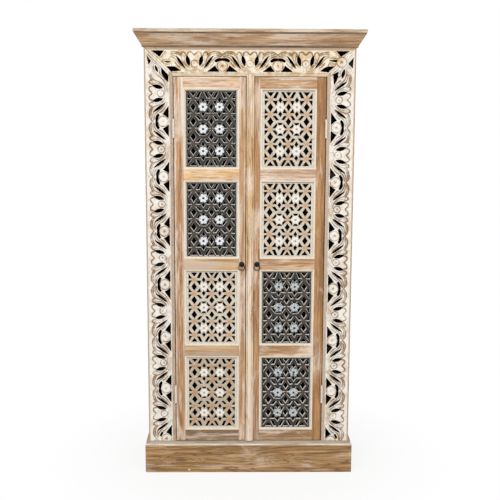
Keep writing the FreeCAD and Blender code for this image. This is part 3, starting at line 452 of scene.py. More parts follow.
def lattice_face(name, strip, crossing, rim, limits, rubbed, worn):
    """A lattice face toned by its place in the panel, counted in spacings of its crossings: bare
    where strips cross, washed past the limits. worn is the share of strips rubbed through."""
    material, tree, shader = finish_of(name)
    place = add(tree, "ShaderNodeTexCoord").outputs["Object"]
    patch = add(tree, "ShaderNodeTexNoise", {
        "Vector": place, "Scale": 1/RUBBED_PATCH, "Detail": 7.0, "Roughness": 0.66,
        "Distortion": 0.4}).outputs[0]
    away, edge = [], []
    for mark, limit, spacing in zip(("across", "up"), limits, (CROSS_WIDE, CROSS_TALL)):
        count = add(tree, "ShaderNodeAttribute", attribute_name=mark).outputs["Fac"]
        away.append(add(tree, "ShaderNodeMath", {0: count, 1: 0.5}, operation="PINGPONG").outputs[0])
        reach = add(tree, "ShaderNodeMath", {0: count}, operation="ABSOLUTE").outputs[0]
        past = add(tree, "ShaderNodeMath", {0: reach, 1: limit/spacing}, operation="GREATER_THAN")
        edge.append(past.outputs[0])
    offset = add(tree, "ShaderNodeCombineXYZ", {0: away[0], 1: away[1]}).outputs[0]
    gap = add(tree, "ShaderNodeVectorMath", {0: offset}, operation="LENGTH").outputs["Value"]
    gap = add(tree, "ShaderNodeMath", {0: gap, 1: patch}).outputs[0]
    spot = add(tree, "ShaderNodeMapRange", {
        "Value": gap, "From Min": 0.55, "From Max": 0.78, "To Min": 0.9, "To Max": 0.0}).outputs[0]
    bare = add(tree, "ShaderNodeMapRange", {
        "Value": patch, "From Min": 0.74 - 0.5*worn, "From Max": 0.86 - 0.5*worn}).outputs[0]
    side = add(tree, "ShaderNodeMath", {0: edge[0], 1: edge[1]}, operation="MAXIMUM").outputs[0]
    colour = tone(strip)
    for share, other in ((spot, crossing), (side, rim), (bare, rubbed)):
        colour = add(tree, "ShaderNodeMix", {
            0: share, 6: colour, 7: tone(other)}, data_type="RGBA").outputs[2]
    gloss = add(tree, "ShaderNodeMapRange", {"Value": bare, "To Min": 0.64, "To Max": 0.82}).outputs[0]
    bump = add(tree, "ShaderNodeBump", {"Height": patch, "Strength": 0.5, "Distance": 0.4*MM}).outputs[0]
    feed(tree, shader, {"Base Color": colour, "Roughness": gloss, "Normal": bump})
    return material


# Rubbed panels read as brown, limed ones as cream, and stained ones as near black
brown_flat = lattice_face(
    "rubbed_lattice_flats", "#B9A88F", "#B88A5E", "#D9D1C2", (96.5, 148.0), "#DED5C6", 0.34)
pale_flat = lattice_face(
    "limed_lattice_flats", "#D0C6B5", "#BF946A", "#DAD3C5", (96.5, 148.0), "#B59774", 0.42)
dark_flat = lattice_face(
    "charcoal_lattice_flats", "#25211C", "#4C4236", "#CDC3B3", (100.6, 151.0), "#64533F", 0.27)


# %% [markdown]
# ## Carved border boards
# Three boards, mitred at the top corners, carry one pattern of scrolling strands. At each repeat
# there is a trefoil, two leaves, and a rosette half way to the next one, with openings between
# them. Sculpting by hand would be one way, but the pattern is a rule. So the face of each board
# is a fine net of points, and each point is sunk by a depth worked out from its place: edges are
# rounded beside an opening, lines are gouged along curves, and the flowers are low domes with a
# sunk heart.
# The openings are the same outlines as in the solid boards. They are written in shares of the
# carved width and of the repeat, or of the board's width beside a mitre. A corner may be followed
# by a point that the arc to the next corner goes through.

# %% Outlines of the openings
# Length of a repeat and the place of one trefoil along each board, in millimetres
PITCH = {"left": 221.3, "right": 219.2, "top": 220.0}
TREFOIL = {"left": 1581.0, "right": 1557.0, "top": 0.0}
OUTER_RIM = 17.0
INNER_RIM = 13.0
# How far openings keep from a mitre, and how far the pattern of a corner reaches, in millimetres
MITRE_SLACK = 4.2*math.sqrt(2)
CORNER_REACH = 107.0
border_low, border_high = [np.array(corner)/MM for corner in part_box("border_left")]
top_high = np.array(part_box("border_top")[1])/MM
BORDER_WIDE = border_high[0] - border_low[0]
HALF_BODY = top_high[0]
CARVED = BORDER_WIDE - OUTER_RIM - INNER_RIM
CRESCENT = [((0.18, 0.141), (0.42, 0.157)), ((0.70, 0.092), (0.39, 0.084))]
SLOT = [((0.185, 0.337), (0.48, 0.229)), ((0.80, 0.163), (0.53, 0.277))]
TRIANGLE = [((0.955, 0.222), (0.78, 0.305)), ((0.655, 0.372), (0.775, 0.398)), ((0.955, 0.452), None)]
ROSETTE_CRESCENT = [
    ((0.455, 0.352), (0.338, 0.402)), ((0.302, 0.452), (0.318, 0.500)),
    ((0.302, 0.548), (0.338, 0.598)), ((0.455, 0.648), None),
    ((0.52, 0.612), (0.458, 0.556)), ((0.422, 0.500), (0.458, 0.444)), ((0.52, 0.388), None)]
HALF_CRESCENT = [
    ((0.45, 0.352), (0.365, 0.400)), ((0.325, 0.446), None),
    ((0.435, 0.458), (0.475, 0.412)), ((0.53, 0.374), None)]
PATTERN = (
    (CRESCENT, None, (1, -1)), (SLOT, None, (1, -1)), (TRIANGLE, None, (1, -1)),
    (ROSETTE_CRESCENT, HALF_CRESCENT, (-1,)))
SIDE_CORNERS = {
    "left": [
        [((0.09, 0.275), None), ((0.258, 0.490), None), ((0.16, 0.630), None)],
        [((0.39, 0.622), (0.395, 0.770)), ((0.485, 0.888), (0.475, 0.735))],
        [((0.603, 0.708), None), ((0.858, 0.985), None), ((0.847, 1.228), (0.69, 1.050)),
         ((0.603, 0.905), None)]],
    "right": [
        [((0.085, 0.330), None), ((0.278, 0.560), None), ((0.11, 0.725), None)],
        [((0.395, 0.735), (0.382, 0.920)), ((0.478, 1.070), (0.492, 0.860))],
        [((0.608, 0.812), None), ((0.80, 0.925), None), ((0.768, 1.300), (0.665, 1.140)),
         ((0.617, 0.980), None)]]}
TOP_CORNERS = {
    "left": [
        [((0.125, 0.245), None), ((0.345, 0.550), None), ((0.125, 0.715), None)],
        [((0.482, 0.695), (0.49, 0.820)), ((0.505, 0.955), (0.542, 0.800))],
        [((0.665, 0.775), None), ((0.67, 1.075), None), ((0.818, 1.310), None), ((0.853, 0.945), None)]],
    "right": [
        [((0.12, 0.228), None), ((0.325, 0.535), None), ((0.122, 0.712), None)],
        [((0.415, 0.662), None), ((0.435, 0.965), (0.49, 0.815)), ((0.51, 0.680), None)],
        [((0.64, 0.715), None), ((0.65, 0.985), (0.712, 1.130)), ((0.822, 1.262), None),
         ((0.858, 0.965), (0.752, 0.870))]]}
print("openings in a whole repeat:", sum(len(mirrors) for _, _, mirrors in PATTERN))


# %% [markdown]
# The centre of an arc through three points lies where the perpendiculars through the middles of
# its chords meet. With points as complex numbers, that is one line of sums, and turning about the
# centre is one product. An opening that would run into the end of its board is left out.

# %% Arcs and repeats
ARC_STEPS = 14


def outline(shape, spot):
    """Points round an opening, arcs included, with spot turning shares into millimetres."""
    points = []
    for (corner, middle), (after, _) in zip(shape, shape[1:] + shape[:1]):
        start, end = complex(*spot(*corner)), complex(*spot(*after))
        if middle is None:
            points.append(start)
            continue
        bend = complex(*spot(*middle))
        ratio = (end - start)/(bend - start)
        centre = start - (start - bend)*(ratio - abs(ratio)**2)/(2j*ratio.imag)
        turn = np.angle((end - centre)/(start - centre)) % (2*math.pi)
        if ratio.imag < 0:
            turn -= 2*math.pi
        points += [centre + (start - centre)*np.exp(1j*turn*step/ARC_STEPS) for step in range(ARC_STEPS)]
    return np.array([(point.real, point.imag) for point in points])


def kept_openings(board, steps, corners, inside):
    """Openings of a board: the repeating ones that lie inside it, and those beside its mitres.
    Where the board ends at a rosette, half a crescent is left. corners give the place of a
    mitre, the way along the board and the shapes there."""
    found = []
    for step in steps:
        for whole, shorter, mirrors in PATTERN:
            for mirror in mirrors:
                def spot(across, along):
                    return OUTER_RIM + across*CARVED, TREFOIL[board] + (step + mirror*along)*PITCH[board]
                fitting = [shape for shape in (whole, shorter)
                           if shape and all(inside(*spot(*corner)) for corner, _ in shape)]
                found += [outline(shape, spot) for shape in fitting[:1]]
    for place, way, shapes in corners:
        def beside_mitre(across, along):
            return across*BORDER_WIDE, place + way*along*BORDER_WIDE
        found += [outline(shape, beside_mitre) for shape in shapes]
    return found


print("points on an arc:", ARC_STEPS)


# %% [markdown]
# A signed distance says how far a point is from the nearest opening, and is negative inside one.
# It does two jobs: where it is zero the net is cut, and where it is small the wood is rounded.
# The net is cut triangle by triangle, so that the edge of an opening shows no steps.

# %% Distance and cutting
def path_distance(points, path):
    """Distance of points to a line through the points of a path."""
    best = np.full(len(points), np.inf)
    for start, end in zip(path, path[1:]):
        edge = end - start
        share = np.clip((points - start) @ edge/(edge @ edge), 0, 1)
        best = np.minimum(best, np.linalg.norm(points - start - share[:, None]*edge, axis=1))
    return best


def signed_distance(points, polygon):
    """Distance of points to an outline, negative inside it."""
    ring = np.concatenate([polygon, polygon[:1]])
    inside = np.zeros(len(points), dtype=bool)
    for start, end in zip(ring, ring[1:]):
        crosses = (start[1] > points[:, 1]) != (end[1] > points[:, 1])
        level = start[0] + (points[:, 1] - start[1])*(end[0] - start[0])/((end[1] - start[1]) or 1.0)
        inside ^= crosses & (points[:, 0] < level)
    return np.where(inside, -1, 1)*path_distance(points, ring)


def cut_net(points, triangles, level):
    """The part of a triangle net where level is positive; every column of points is kept."""
    inside = level > 0
    count = inside[triangles].sum(axis=1)
    crossed = triangles[(count == 1) | (count == 2)]
    lone_inside = inside[crossed].sum(axis=1) == 1
    lone = np.argmax(inside[crossed] == lone_inside[:, None], axis=1)
    corner = np.take_along_axis(crossed, (lone[:, None] + np.arange(3)) % 3, axis=1)
    pairs = np.sort(np.concatenate([corner[:, [0, 1]], corner[:, [0, 2]]]), axis=1)
    edges, index = np.unique(pairs, axis=0, return_inverse=True)
    share = level[edges[:, 0]]/(level[edges[:, 0]] - level[edges[:, 1]])
    fresh = points[edges[:, 0]] + share[:, None]*(points[edges[:, 1]] - points[edges[:, 0]])
    first, last = (len(points) + index.reshape(2, -1))
    tip = np.stack([corner[:, 0], first, last], axis=1)[lone_inside]
    near = np.stack([first, corner[:, 1], corner[:, 2]], axis=1)[~lone_inside]
    far = np.stack([first, corner[:, 2], last], axis=1)[~lone_inside]
    kept = np.concatenate([triangles[count == 3], tip, near, far])
    used, kept = np.unique(kept, return_inverse=True)
    return np.concatenate([points, fresh])[used], kept.reshape(-1, 3)


SQUARE = np.array([(0, 0), (1, 0), (1, 1), (0, 1)])
print("distance at the middle of a unit square:", signed_distance(np.array([(0.5, 0.5)]), SQUARE)[0])


# %% [markdown]
# A cut net has loose edges: one round the board and one round every opening. An edge that only one
# triangle uses is such an edge, and following these from point to point gives the loops. Walls
# start there, and a Delaunay triangulation fills the flat back between the same loops.

# %% Loops and filling
def rim_loops(triangles):
    """Loops of points round the edge and the openings of a net, each in its triangles' order."""
    edges = np.concatenate([triangles[:, [0, 1]], triangles[:, [1, 2]], triangles[:, [2, 0]]])
    _, index, count = np.unique(np.sort(edges, axis=1), axis=0, return_inverse=True, return_counts=True)
    after = dict(edges[count[index.ravel()] == 1])
    loops = []
    while after:
        start, step = after.popitem()
        loop = [start]
        while step != start:
            loop.append(step)
            step = after.pop(step)
        loops.append(loop)
    return loops


def fill(points, loops):
    """Triangles between the first loop and the loops inside it, as places in the list of points."""
    order = [place for loop in loops for place in loop]
    start = np.cumsum([0] + [len(loop) for loop in loops])
    rings = [list(range(low, high)) for low, high in zip(start, start[1:])]
    _, _, faces, origin, _, inside = delaunay_2d_cdt(
        [Vector(points[place]) for place in order], [], rings, 1, 1e-7)
    return [[order[origin[corner][0]] for corner in face]
            for face, owners in zip(faces, inside) if owners == [0]]


def turned_left(points, loop):
    """The loop, reversed if it runs clockwise."""
    ring = points[loop]
    area = np.sum(ring[:, 0]*np.roll(ring[:, 1], -1) - ring[:, 1]*np.roll(ring[:, 0], -1))
    return loop if area > 0 else loop[::-1]


print("triangles that fill a square:", len(fill(SQUARE, [[0, 1, 2, 3]])))


# %% [markdown]
# The carver drew lines on the board and followed them with a gouge. The same is done here: each
# line of the pattern is a smooth curve through a few points, and the wood sinks along it. Only half
# a repeat is drawn. It is mirrored at the trefoil and at the rosette, as the carver's paper pattern
# was turned over.

# %% Lines of the carving
DRAWN = 220.0
LOBE_LINE = (
    (0.19, -0.012), (0.11, 0.025), (0.045, 0.05), (0.025, 0.08), (0.055, 0.11), (0.13, 0.12), (0.24, 0.128))
LEAF_LINE = (
    (0.22, 0.147), (0.11, 0.163), (0.05, 0.187), (0.035, 0.21), (0.08, 0.23), (0.16, 0.238), (0.10, 0.268),
    (0.05, 0.31), (0.02, 0.36), (0.025, 0.41), (0.065, 0.45), (0.12, 0.475), (0.19, 0.51))
LEAF_VEIN = (
    (0.14, 0.45), (0.105, 0.39), (0.12, 0.33), (0.17, 0.278), (0.26, 0.24), (0.42, 0.215), (0.56, 0.188),
    (0.68, 0.15), (0.75, 0.11), (0.785, 0.055), (0.79, -0.02))
LEAF_FOLD = ((0.225, 0.48), (0.19, 0.42), (0.20, 0.37), (0.26, 0.335))
HOOD_LINE = ((0.20, 0.168), (0.35, 0.184), (0.50, 0.174), (0.62, 0.146), (0.71, 0.11))
STRAND_LINE = (
    (0.25, 0.47), (0.27, 0.40), (0.35, 0.35), (0.47, 0.31), (0.61, 0.268), (0.73, 0.218), (0.81, 0.16),
    (0.85, 0.09), (0.86, -0.02))
STEM_LINE = (
    (0.52, 0.345), (0.63, 0.318), (0.75, 0.268), (0.85, 0.205), (0.905, 0.13), (0.92, 0.05), (0.92, -0.02))
CURVE_STEPS = 6
# Spans of the vein that, with the leaf's own line, bound its rubbed lobes
LEAF_SPANS = 4


def smooth_path(points):
    """A curve through points given in shares of the carved width and of the repeat, in millimetres."""
    points = [np.array(point) for point in points]
    ends = [2*points[0] - points[1], *points, 2*points[-1] - points[-2]]
    share = np.linspace(0, 1, CURVE_STEPS, endpoint=False)[:, None]
    path = [there + 0.5*share*(after - before + share*(
                2*before - 5*there + 4*after - beyond + share*(3*(there - after) + beyond - before)))
            for before, there, after, beyond in zip(ends, ends[1:], ends[2:], ends[3:])]
    return np.concatenate([*path, ends[-2:-1]])*[CARVED, DRAWN] + [OUTER_RIM, 0]


# Each line: its path, how deep and wide the gouge went, and how much dust and painted shade it takes
GROOVES = [(smooth_path(line), deep, wide, dust_and_shade) for line, deep, wide, dust_and_shade in (
    (LOBE_LINE, 3.6, 3.1, 1.0), (LEAF_LINE, 3.6, 3.1, 1.0), (LEAF_VEIN, 3.0, 2.4, 0.9),
    (LEAF_FOLD, 2.8, 2.4, 0.8), (HOOD_LINE, 2.6, 2.2, 0.75), (STRAND_LINE, 3.2, 2.6, 0.9),
    (STEM_LINE, 3.2, 2.6, 0.9))]
ground_ring = np.concatenate([[(OUTER_RIM - 0.5, -3)], smooth_path(LOBE_LINE), smooth_path(LEAF_LINE),
                              [(OUTER_RIM - 0.5, DRAWN/2 + 3)]])
leaf_ring = np.concatenate([
    smooth_path(LEAF_LINE), smooth_path(LEAF_VEIN)[:LEAF_SPANS*CURVE_STEPS + 1]])
print("lines of the carving:", len(GROOVES))


# %% [markdown]
# ### Cuts and flowers
# A bell curve makes a gouged line, deepest in its middle. A power of the distance from a flower's
# middle makes a low dome, with a sunk heart and a line cut round it. The flower takes the place of
# what was carved before.

# %% Cuts and flowers
# Place across and along half a repeat, radius, and width of the sunk heart, in millimetres
FLOWER = (64.8, 0.0, 13.6, 5.6)
ROSETTE = (73.4, 110.0, 20.5, 7.6)
# The rosette on a mitre: distance from both outer edges, and radius
CORNER_ROSETTE, CORNER_RADIUS = 57.0, 19.5
# A flower's dome: depth at its top, fall to its edge, depth of its heart and of the ring round it
DOME_TOP, DOME_FALL, HEART_DEEP, RING_DEEP = 0.3, 1.8, 2.8, 2.2
RING_WIDE = 2.2
# Dust and painted shade in a flower's sunk heart and in the line cut round it
HEART_DUST_AND_SHADE, RING_DUST_AND_SHADE = 0.68, 0.75


def gouge(distance, wide):
    """A gouged line, 1 deep at distance 0."""
    return np.exp(-(distance/wide)**2)


def ramp(value, low, high):
    """0 below low, 1 above high, smooth between."""
    share = np.clip((value - low)/(high - low), 0, 1)
    return share*share*(3 - 2*share)


def bloom(depth, dust_and_shade, away, radius, heart):
    """Depth and share of dust and painted shade with a low dome laid on them, sunk at its heart, by the way
    to its middle.
    """
    dome = DOME_TOP + DOME_FALL*np.clip(away/radius, 0, 1)**4 + HEART_DEEP*gouge(away, heart)
    ring = gouge(away - radius, RING_WIDE)
    depth = np.where(away < radius, dome, depth) + RING_DEEP*ring
    dust_and_shade = np.where(away < radius, HEART_DUST_AND_SHADE*gouge(away, heart), dust_and_shade)
    return depth, np.maximum(dust_and_shade, RING_DUST_AND_SHADE*ring)


print("share of a gouged line's depth at its own width:", round(float(gouge(1.0, 1.0)), 2))


# %% [markdown]
# ### Depth at a point
# All cuts come together at each point: the lines, the sunk ground beside the outer rim, the domes
# of the flowers, plain lines round the openings near a mitre, and the rims. Two more values come
# with the depth: how much dust and painted shade the point takes, and whether it is on a leaf.

# %% Depth of the carving
# Depths, widths and places of the other cuts, in millimetres
GROUND = 1.0
GROUND_SLOPE = 1.8
ARRIS_WIDE = 1.8
MITRE_BAND = 8.0
MITRE_BAND_DEEP = 1.8
# Lines round the openings near a mitre: distance from the opening and share of the depth
MITRE_LINES = ((5.2, 1.0), (10.5, 0.7))
MITRE_LINE_WIDE = 1.8
MITRE_LINE_DEEP = 2.4
CORNER_FADE = (99.0, 111.0)
SEAM_WIDE = 1.5
SEAM_DEEP = 1.6
STRIP_WIDE = 1.6
STRIP_DEEP = 1.6
# Distances from the middle of the corner rosette between which the seam comes in
SEAM_END = (18.0, 20.0)
# Depth and width of the rounded outer edge, and of the step down to the inner rim
OUTER_EDGE, INNER_STEP = (1.1, 2.6), (0.9, 2.0)
DEEPEST = 5.5
# Painted shade beside a line, so that the strands read as rounded: its share, and how many times as wide as
# the line it lies
SHADE_HALO, HAZE_SPREAD = 0.32, 2.1
# Places across the board between which the dust and painted shade in the lines go down by a share
DUST_AND_SHADE_FADE, DUST_AND_SHADE_LOSS = (74.0, 86.0), 0.5
# Dust and painted shade on the sunk ground, in the lines and the band of a mitre and by the inner rim, and
# dust in the mitre's seam
GROUND_DUST_AND_SHADE, LINE_DUST_AND_SHADE, BAND_DUST_AND_SHADE, SEAM_DUST, STRIP_DUST_AND_SHADE = 0.15, 0.8, 0.7, 0.8, 0.6
LEAF_FADE = (-1.0, 2.0)


def carving(across, along, clear, joint, repeat, corner_rosette):
    """Depth in millimetres under the face, share of dust and painted shade, and share of leaf, from
    the place on the board and the way to an opening and to the mitre. corner_rosette is where a
    rosette lies on the mitre, along the board."""
    turn = (along/repeat) % 1.0
    place = np.column_stack([across, DRAWN*np.minimum(turn, 1 - turn)])
    arris = (1 - np.clip(clear/ARRIS_WIDE, 0, 1))**2
    depth, dust_and_shade = np.zeros(len(place)), np.zeros(len(place))
    # Each line lays dust and painted shade along its groove
    for path, deep, wide, shade_share in GROOVES:
        away = path_distance(place, path)
        line = gouge(away, wide)
        depth += deep*line
        dust_and_shade = np.maximum(dust_and_shade, shade_share*np.maximum(line, SHADE_HALO*gouge(away, HAZE_SPREAD*wide)))
    dust_and_shade *= 1 - DUST_AND_SHADE_LOSS*ramp(across, *DUST_AND_SHADE_FADE)
    sunk = ramp(-signed_distance(place, ground_ring), 0.0, GROUND_SLOPE)
    depth, dust_and_shade = np.maximum(depth, GROUND*sunk), np.maximum(dust_and_shade, GROUND_DUST_AND_SHADE*sunk)
    for middle, height, radius, heart in (FLOWER, ROSETTE):
        depth, dust_and_shade = bloom(depth, dust_and_shade, np.hypot(across - middle, place[:, 1] - height), radius, heart)
    corner = 1 - ramp(joint*math.sqrt(2) + across, *CORNER_FADE)
    lines = sum(share*gouge(clear - away, MITRE_LINE_WIDE) for away, share in MITRE_LINES)
    depth = depth + corner*(MITRE_LINE_DEEP*lines - depth)
    dust_and_shade = dust_and_shade + corner*(LINE_DUST_AND_SHADE*lines - dust_and_shade)
    band = 1 - ramp(joint, MITRE_BAND - SEAM_WIDE, MITRE_BAND)
    mitre_line = gouge(joint - MITRE_BAND, SEAM_WIDE)
    depth = depth*(1 - band) + MITRE_BAND_DEEP*mitre_line
    dust_and_shade = np.maximum(dust_and_shade*(1 - band), BAND_DUST_AND_SHADE*mitre_line)
    seam = gouge(joint, SEAM_WIDE)
    if corner_rosette is not None:
        away = np.hypot(across - CORNER_ROSETTE, along - corner_rosette)
        depth, dust_and_shade = bloom(depth, dust_and_shade, away, CORNER_RADIUS, ROSETTE[3])
        seam = seam*ramp(away, *SEAM_END)
    inner = BORDER_WIDE - INNER_RIM
    carved = ramp(across, OUTER_RIM - 2.5, OUTER_RIM - 0.5)*(1 - ramp(across, inner - 0.5, inner + 1.5))
    rims = OUTER_EDGE[0]*(1 - ramp(across, 0.0, OUTER_EDGE[1]))
    rims += INNER_STEP[0]*ramp(across, inner, inner + INNER_STEP[1])
    strip = gouge(across - inner, STRIP_WIDE)
    depth = np.clip(depth, 0, DEEPEST)*carved + arris + rims + STRIP_DEEP*strip + SEAM_DEEP*seam
    leaf = ramp(-signed_distance(place, leaf_ring), *LEAF_FADE)*carved*(1 - corner)*(1 - band)
    return depth, np.maximum.reduce([dust_and_shade*carved, STRIP_DUST_AND_SHADE*strip, SEAM_DUST*seam]), leaf


print("lines and flowers sink no deeper than", DEEPEST, "mm")


# %% [markdown]
# ### The finish of the carving
# The carving was limed more heavily than the doors, so it reads as cream, with bare brown wood
# and grey dust left in the hollows, where painted shade is laid in the same tones, and a warm tan
# where the leaves were rubbed. How much dust and painted shade a point takes, and whether it is on
# a leaf or a rim, is kept as values on the mesh. The finish reads them, which puts the brown
# exactly where the gouge went.

# %% Limed carving finish
CARVED_PATCH = 30*MM
TOOL_MARK = 5*MM
BARE_TONE = "#7E5F42"
GRAIN_TONES = ("#7F5836", "#C7AB8C")


def limed_carving(name, washed, rubbed_tone, dust_and_shade_tone, leaf_tone):
    """Cream wash over mango, rubbed tan on the leaves, brown dust and painted shade in the hollows, and brown
    on the rims.
    """
    material, tree, shader = finish_of(name)
    place = add(tree, "ShaderNodeTexCoord").outputs["Object"]
    hollow_dust_and_shade = add(tree, "ShaderNodeAttribute", attribute_name="hollow_dust_and_shade").outputs["Fac"]
    rim = add(tree, "ShaderNodeAttribute", attribute_name="rim").outputs["Fac"]
    leaf = add(tree, "ShaderNodeAttribute", attribute_name="leaf").outputs["Fac"]
    patch = add(tree, "ShaderNodeTexNoise", {
        "Vector": place, "Scale": 1/CARVED_PATCH, "Detail": 7.0, "Roughness": 0.66,
        "Distortion": 0.5}).outputs[0]
    tool = add(tree, "ShaderNodeTexNoise", {"Vector": place, "Scale": 1/TOOL_MARK, "Detail": 4.0}).outputs[0]
    rubbed = add(tree, "ShaderNodeMapRange", {"Value": patch, "From Min": 0.44, "From Max": 0.62}).outputs[0]
    cream = add(tree, "ShaderNodeMix", {
        0: rubbed, 6: tone(washed), 7: tone(rubbed_tone)}, data_type="RGBA").outputs[2]
    dust_and_shade = add(tree, "ShaderNodeMix", {
        0: rubbed, 6: tone(dust_and_shade_tone), 7: tone(BARE_TONE)}, data_type="RGBA").outputs[2]
    filled = add(tree, "ShaderNodeMapRange", {
        "Value": patch, "From Min": 0.38, "From Max": 0.6, "To Min": 0.6, "To Max": 1.25}).outputs[0]
    lobe = add(tree, "ShaderNodeMapRange", {
        "Value": patch, "From Min": 0.38, "From Max": 0.6, "To Min": 0.2, "To Max": 0.8}).outputs[0]
    lobe = add(tree, "ShaderNodeMath", {0: lobe, 1: leaf}, operation="MULTIPLY").outputs[0]
    cream = add(tree, "ShaderNodeMix", {
        0: lobe, 6: cream, 7: tone(leaf_tone)}, data_type="RGBA").outputs[2]
    # The hollows darken by their mark: dust, and painted shade in the recesses
    hollow_dust_and_shade = add(tree, "ShaderNodeMath", {0: hollow_dust_and_shade, 1: filled}, operation="MULTIPLY").outputs[0]
    sunk = add(tree, "ShaderNodeMath", {0: tool, 1: 0.4, 2: hollow_dust_and_shade}, operation="MULTIPLY_ADD").outputs[0]
    dust_and_shade_share = add(tree, "ShaderNodeMapRange", {
        "Value": sunk, "From Min": 0.42, "From Max": 0.95, "To Max": 0.95}).outputs[0]
    colour = add(tree, "ShaderNodeMix", {0: dust_and_shade_share, 6: cream, 7: dust_and_shade}, data_type="RGBA").outputs[2]
    grain = add(tree, "ShaderNodeMix", {
        0: tool, 6: tone(GRAIN_TONES[0]), 7: tone(GRAIN_TONES[1])}, data_type="RGBA").outputs[2]
    worn = add(tree, "ShaderNodeMapRange", {
        "Value": patch, "From Min": 0.34, "From Max": 0.66, "To Min": 1.0, "To Max": 0.6}).outputs[0]
    bare = add(tree, "ShaderNodeMath", {0: worn, 1: rim}, operation="MULTIPLY").outputs[0]
    colour = add(tree, "ShaderNodeMix", {0: bare, 6: colour, 7: grain}, data_type="RGBA").outputs[2]
    bump = add(tree, "ShaderNodeBump", {"Height": tool, "Strength": 0.4, "Distance": 0.7*MM}).outputs[0]
    feed(tree, shader, {"Base Color": colour, "Normal": bump})
    shader.inputs["Roughness"].default_value = 0.76
    return material


side_carving = limed_carving("limed_carved_mango", "#EEE9DF", "#DCCBB7", "#8B7763", "#C6A27A")
top_carving = limed_carving("limed_carved_mango_top", "#F2E8D6", "#D6B585", "#957A5A", "#CFA873")
# Walls of the openings: almost black, a painted shade for raw sawn wood in shadow
shaded_opening_walls = worn_coat("opening_walls_painted_shade", "#241B13", "#3A2C20", 0.2, 20*MM, 0.8)


# %% [markdown]
# ### Net of a board
# The net is laid over the whole board and cut at the openings and the mitres. Its squares are
# halved one way and the other by turns, so that no direction shows in the carving. The distance
# to the nearest opening is cut along with the points, because the carving needs it too.

# %% Net of a board
NET = 1.45
REACH = 14.0
LEAST_LEVEL = 0.06


def board_net(low, high, openings, mitre):
    """Points of a board from low to high, each with its way to an opening, and their triangles."""
    across = np.linspace(0, BORDER_WIDE, round(BORDER_WIDE/NET) + 1)
    along = np.linspace(low, high, round((high - low)/NET) + 1)
    points = np.stack(np.meshgrid(across, along, indexing="ij"), axis=-1).reshape(-1, 2)
    clear = np.full(len(points), REACH)
    for opening in openings:
        near = np.all((points > opening.min(0) - REACH) & (points < opening.max(0) + REACH), axis=1)
        clear[near] = np.minimum(clear[near], signed_distance(points[near], opening))
    row, column = np.meshgrid(np.arange(len(across) - 1), np.arange(len(along) - 1), indexing="ij")
    corner = (row*len(along) + column).ravel()
    beside, above = corner + len(along), corner + 1
    even = ((row + column) % 2 == 0).ravel()[:, None]
    triangles = np.concatenate([
        np.where(even, np.stack([corner, beside, beside + 1], 1), np.stack([corner, beside, above], 1)),
        np.where(even, np.stack([corner, beside + 1, above], 1), np.stack([beside, beside + 1, above], 1))])
    level = np.minimum(clear, mitre(points[:, 0], points[:, 1]) + 1e-3)
    level[np.abs(level) < LEAST_LEVEL] = LEAST_LEVEL
    return cut_net(np.column_stack([points, clear]), triangles, level)


print("points across a border board:", round(BORDER_WIDE/NET) + 1)


# %% [markdown]
# ### Face, walls and back
# The face of a board is its net, sunk by the carving. Walls go back from the loops to the rear
# face. Inside the openings they take a near-black painted shade.

# %% A carved board
# How far the inner and the outer rim are worn to bare wood, and how wide the outer wear is
RIM_WEAR = {"left": (1.0, 1.0, 3.6), "right": (0.85, 1.1, 3.6), "top": (0.5, 0.95, 10.0)}


def carved_board(board, low, high, openings, mitre, to_plane, finish, rosette_place=None):
    """A border board along low to high, its face sunk by the carving, with walls and a back."""
    first = TREFOIL[board]
    net, triangles = board_net(low, high, openings, mitre)
    rosette_along = None if rosette_place is None else rosette_place - first
    depth, dust_and_shade, leaf = carving(net[:, 0], net[:, 1] - first, np.maximum(net[:, 2], 0),
                                np.abs(mitre(net[:, 0], net[:, 1])), PITCH[board], rosette_along)
    plane = np.column_stack(to_plane(net[:, 0], net[:, 1]))
    first_face = plane[triangles[0]]
    if np.cross(first_face[1] - first_face[0], first_face[2] - first_face[0]) < 0:
        triangles = triangles[:, ::-1]
    front, back = border_low[1], border_high[1]
    loops = rim_loops(triangles)
    loops.sort(key=lambda loop: -np.ptp(plane[loop], axis=0).max())
    edge = np.array([place for loop in loops for place in loop])
    behind = {place: len(net) + number for number, place in enumerate(edge)}
    walls = [(after, place, behind[place], behind[after])
             for loop in loops for place, after in zip(loop, loop[1:] + loop[:1])]
    rings = [turned_left(plane, loop) for loop in loops]
    backs = [[behind[place] for place in reversed(face)] for face in fill(plane, rings)]
    face_points = np.column_stack([plane[:, 0], front + depth, plane[:, 1]])
    back_points = np.column_stack([plane[edge, 0], np.full(len(edge), back), plane[edge, 1]])
    inner = BORDER_WIDE - INNER_RIM
    inner_wear, outer_wear, outer_reach = RIM_WEAR[board]
    rim = inner_wear*ramp(net[:, 0], inner, inner + 2.0)
    rim += outer_wear*(1 - ramp(net[:, 0], outer_reach, outer_reach + 4.0))
    marks = {"hollow_dust_and_shade": np.concatenate([dust_and_shade, np.ones(len(edge))]),
             "rim": np.concatenate([rim, rim[edge]]), "leaf": np.concatenate([leaf, leaf[edge]])}
    # Walls inside the openings take the painted shade
    sawn = len(edge) - len(loops[0])
    indices = [0]*(len(triangles) + len(loops[0])) + [1]*sawn + [0]*len(backs)
    piece(f"carved_border_{board}", np.concatenate([face_points, back_points])*MM,
          [*triangles.tolist(), *walls, *backs], [finish, shaded_opening_walls], "carcass",
          [f"border_{board}"], marks, indices)
    print(f"  {len(openings)} openings, {len(loops) - 1} loops inside, deepest {depth.max():.1f} mm")


print("boards with worn rims:", list(RIM_WEAR))


# %% [markdown]
# ### The three boards
# The side boards stand upright, and the top board lies across under the cornice. All three are cut
# where they meet, and the way to that mitre is worked out from a point's place. A rosette lies on
# the right mitre, half of it on each board.

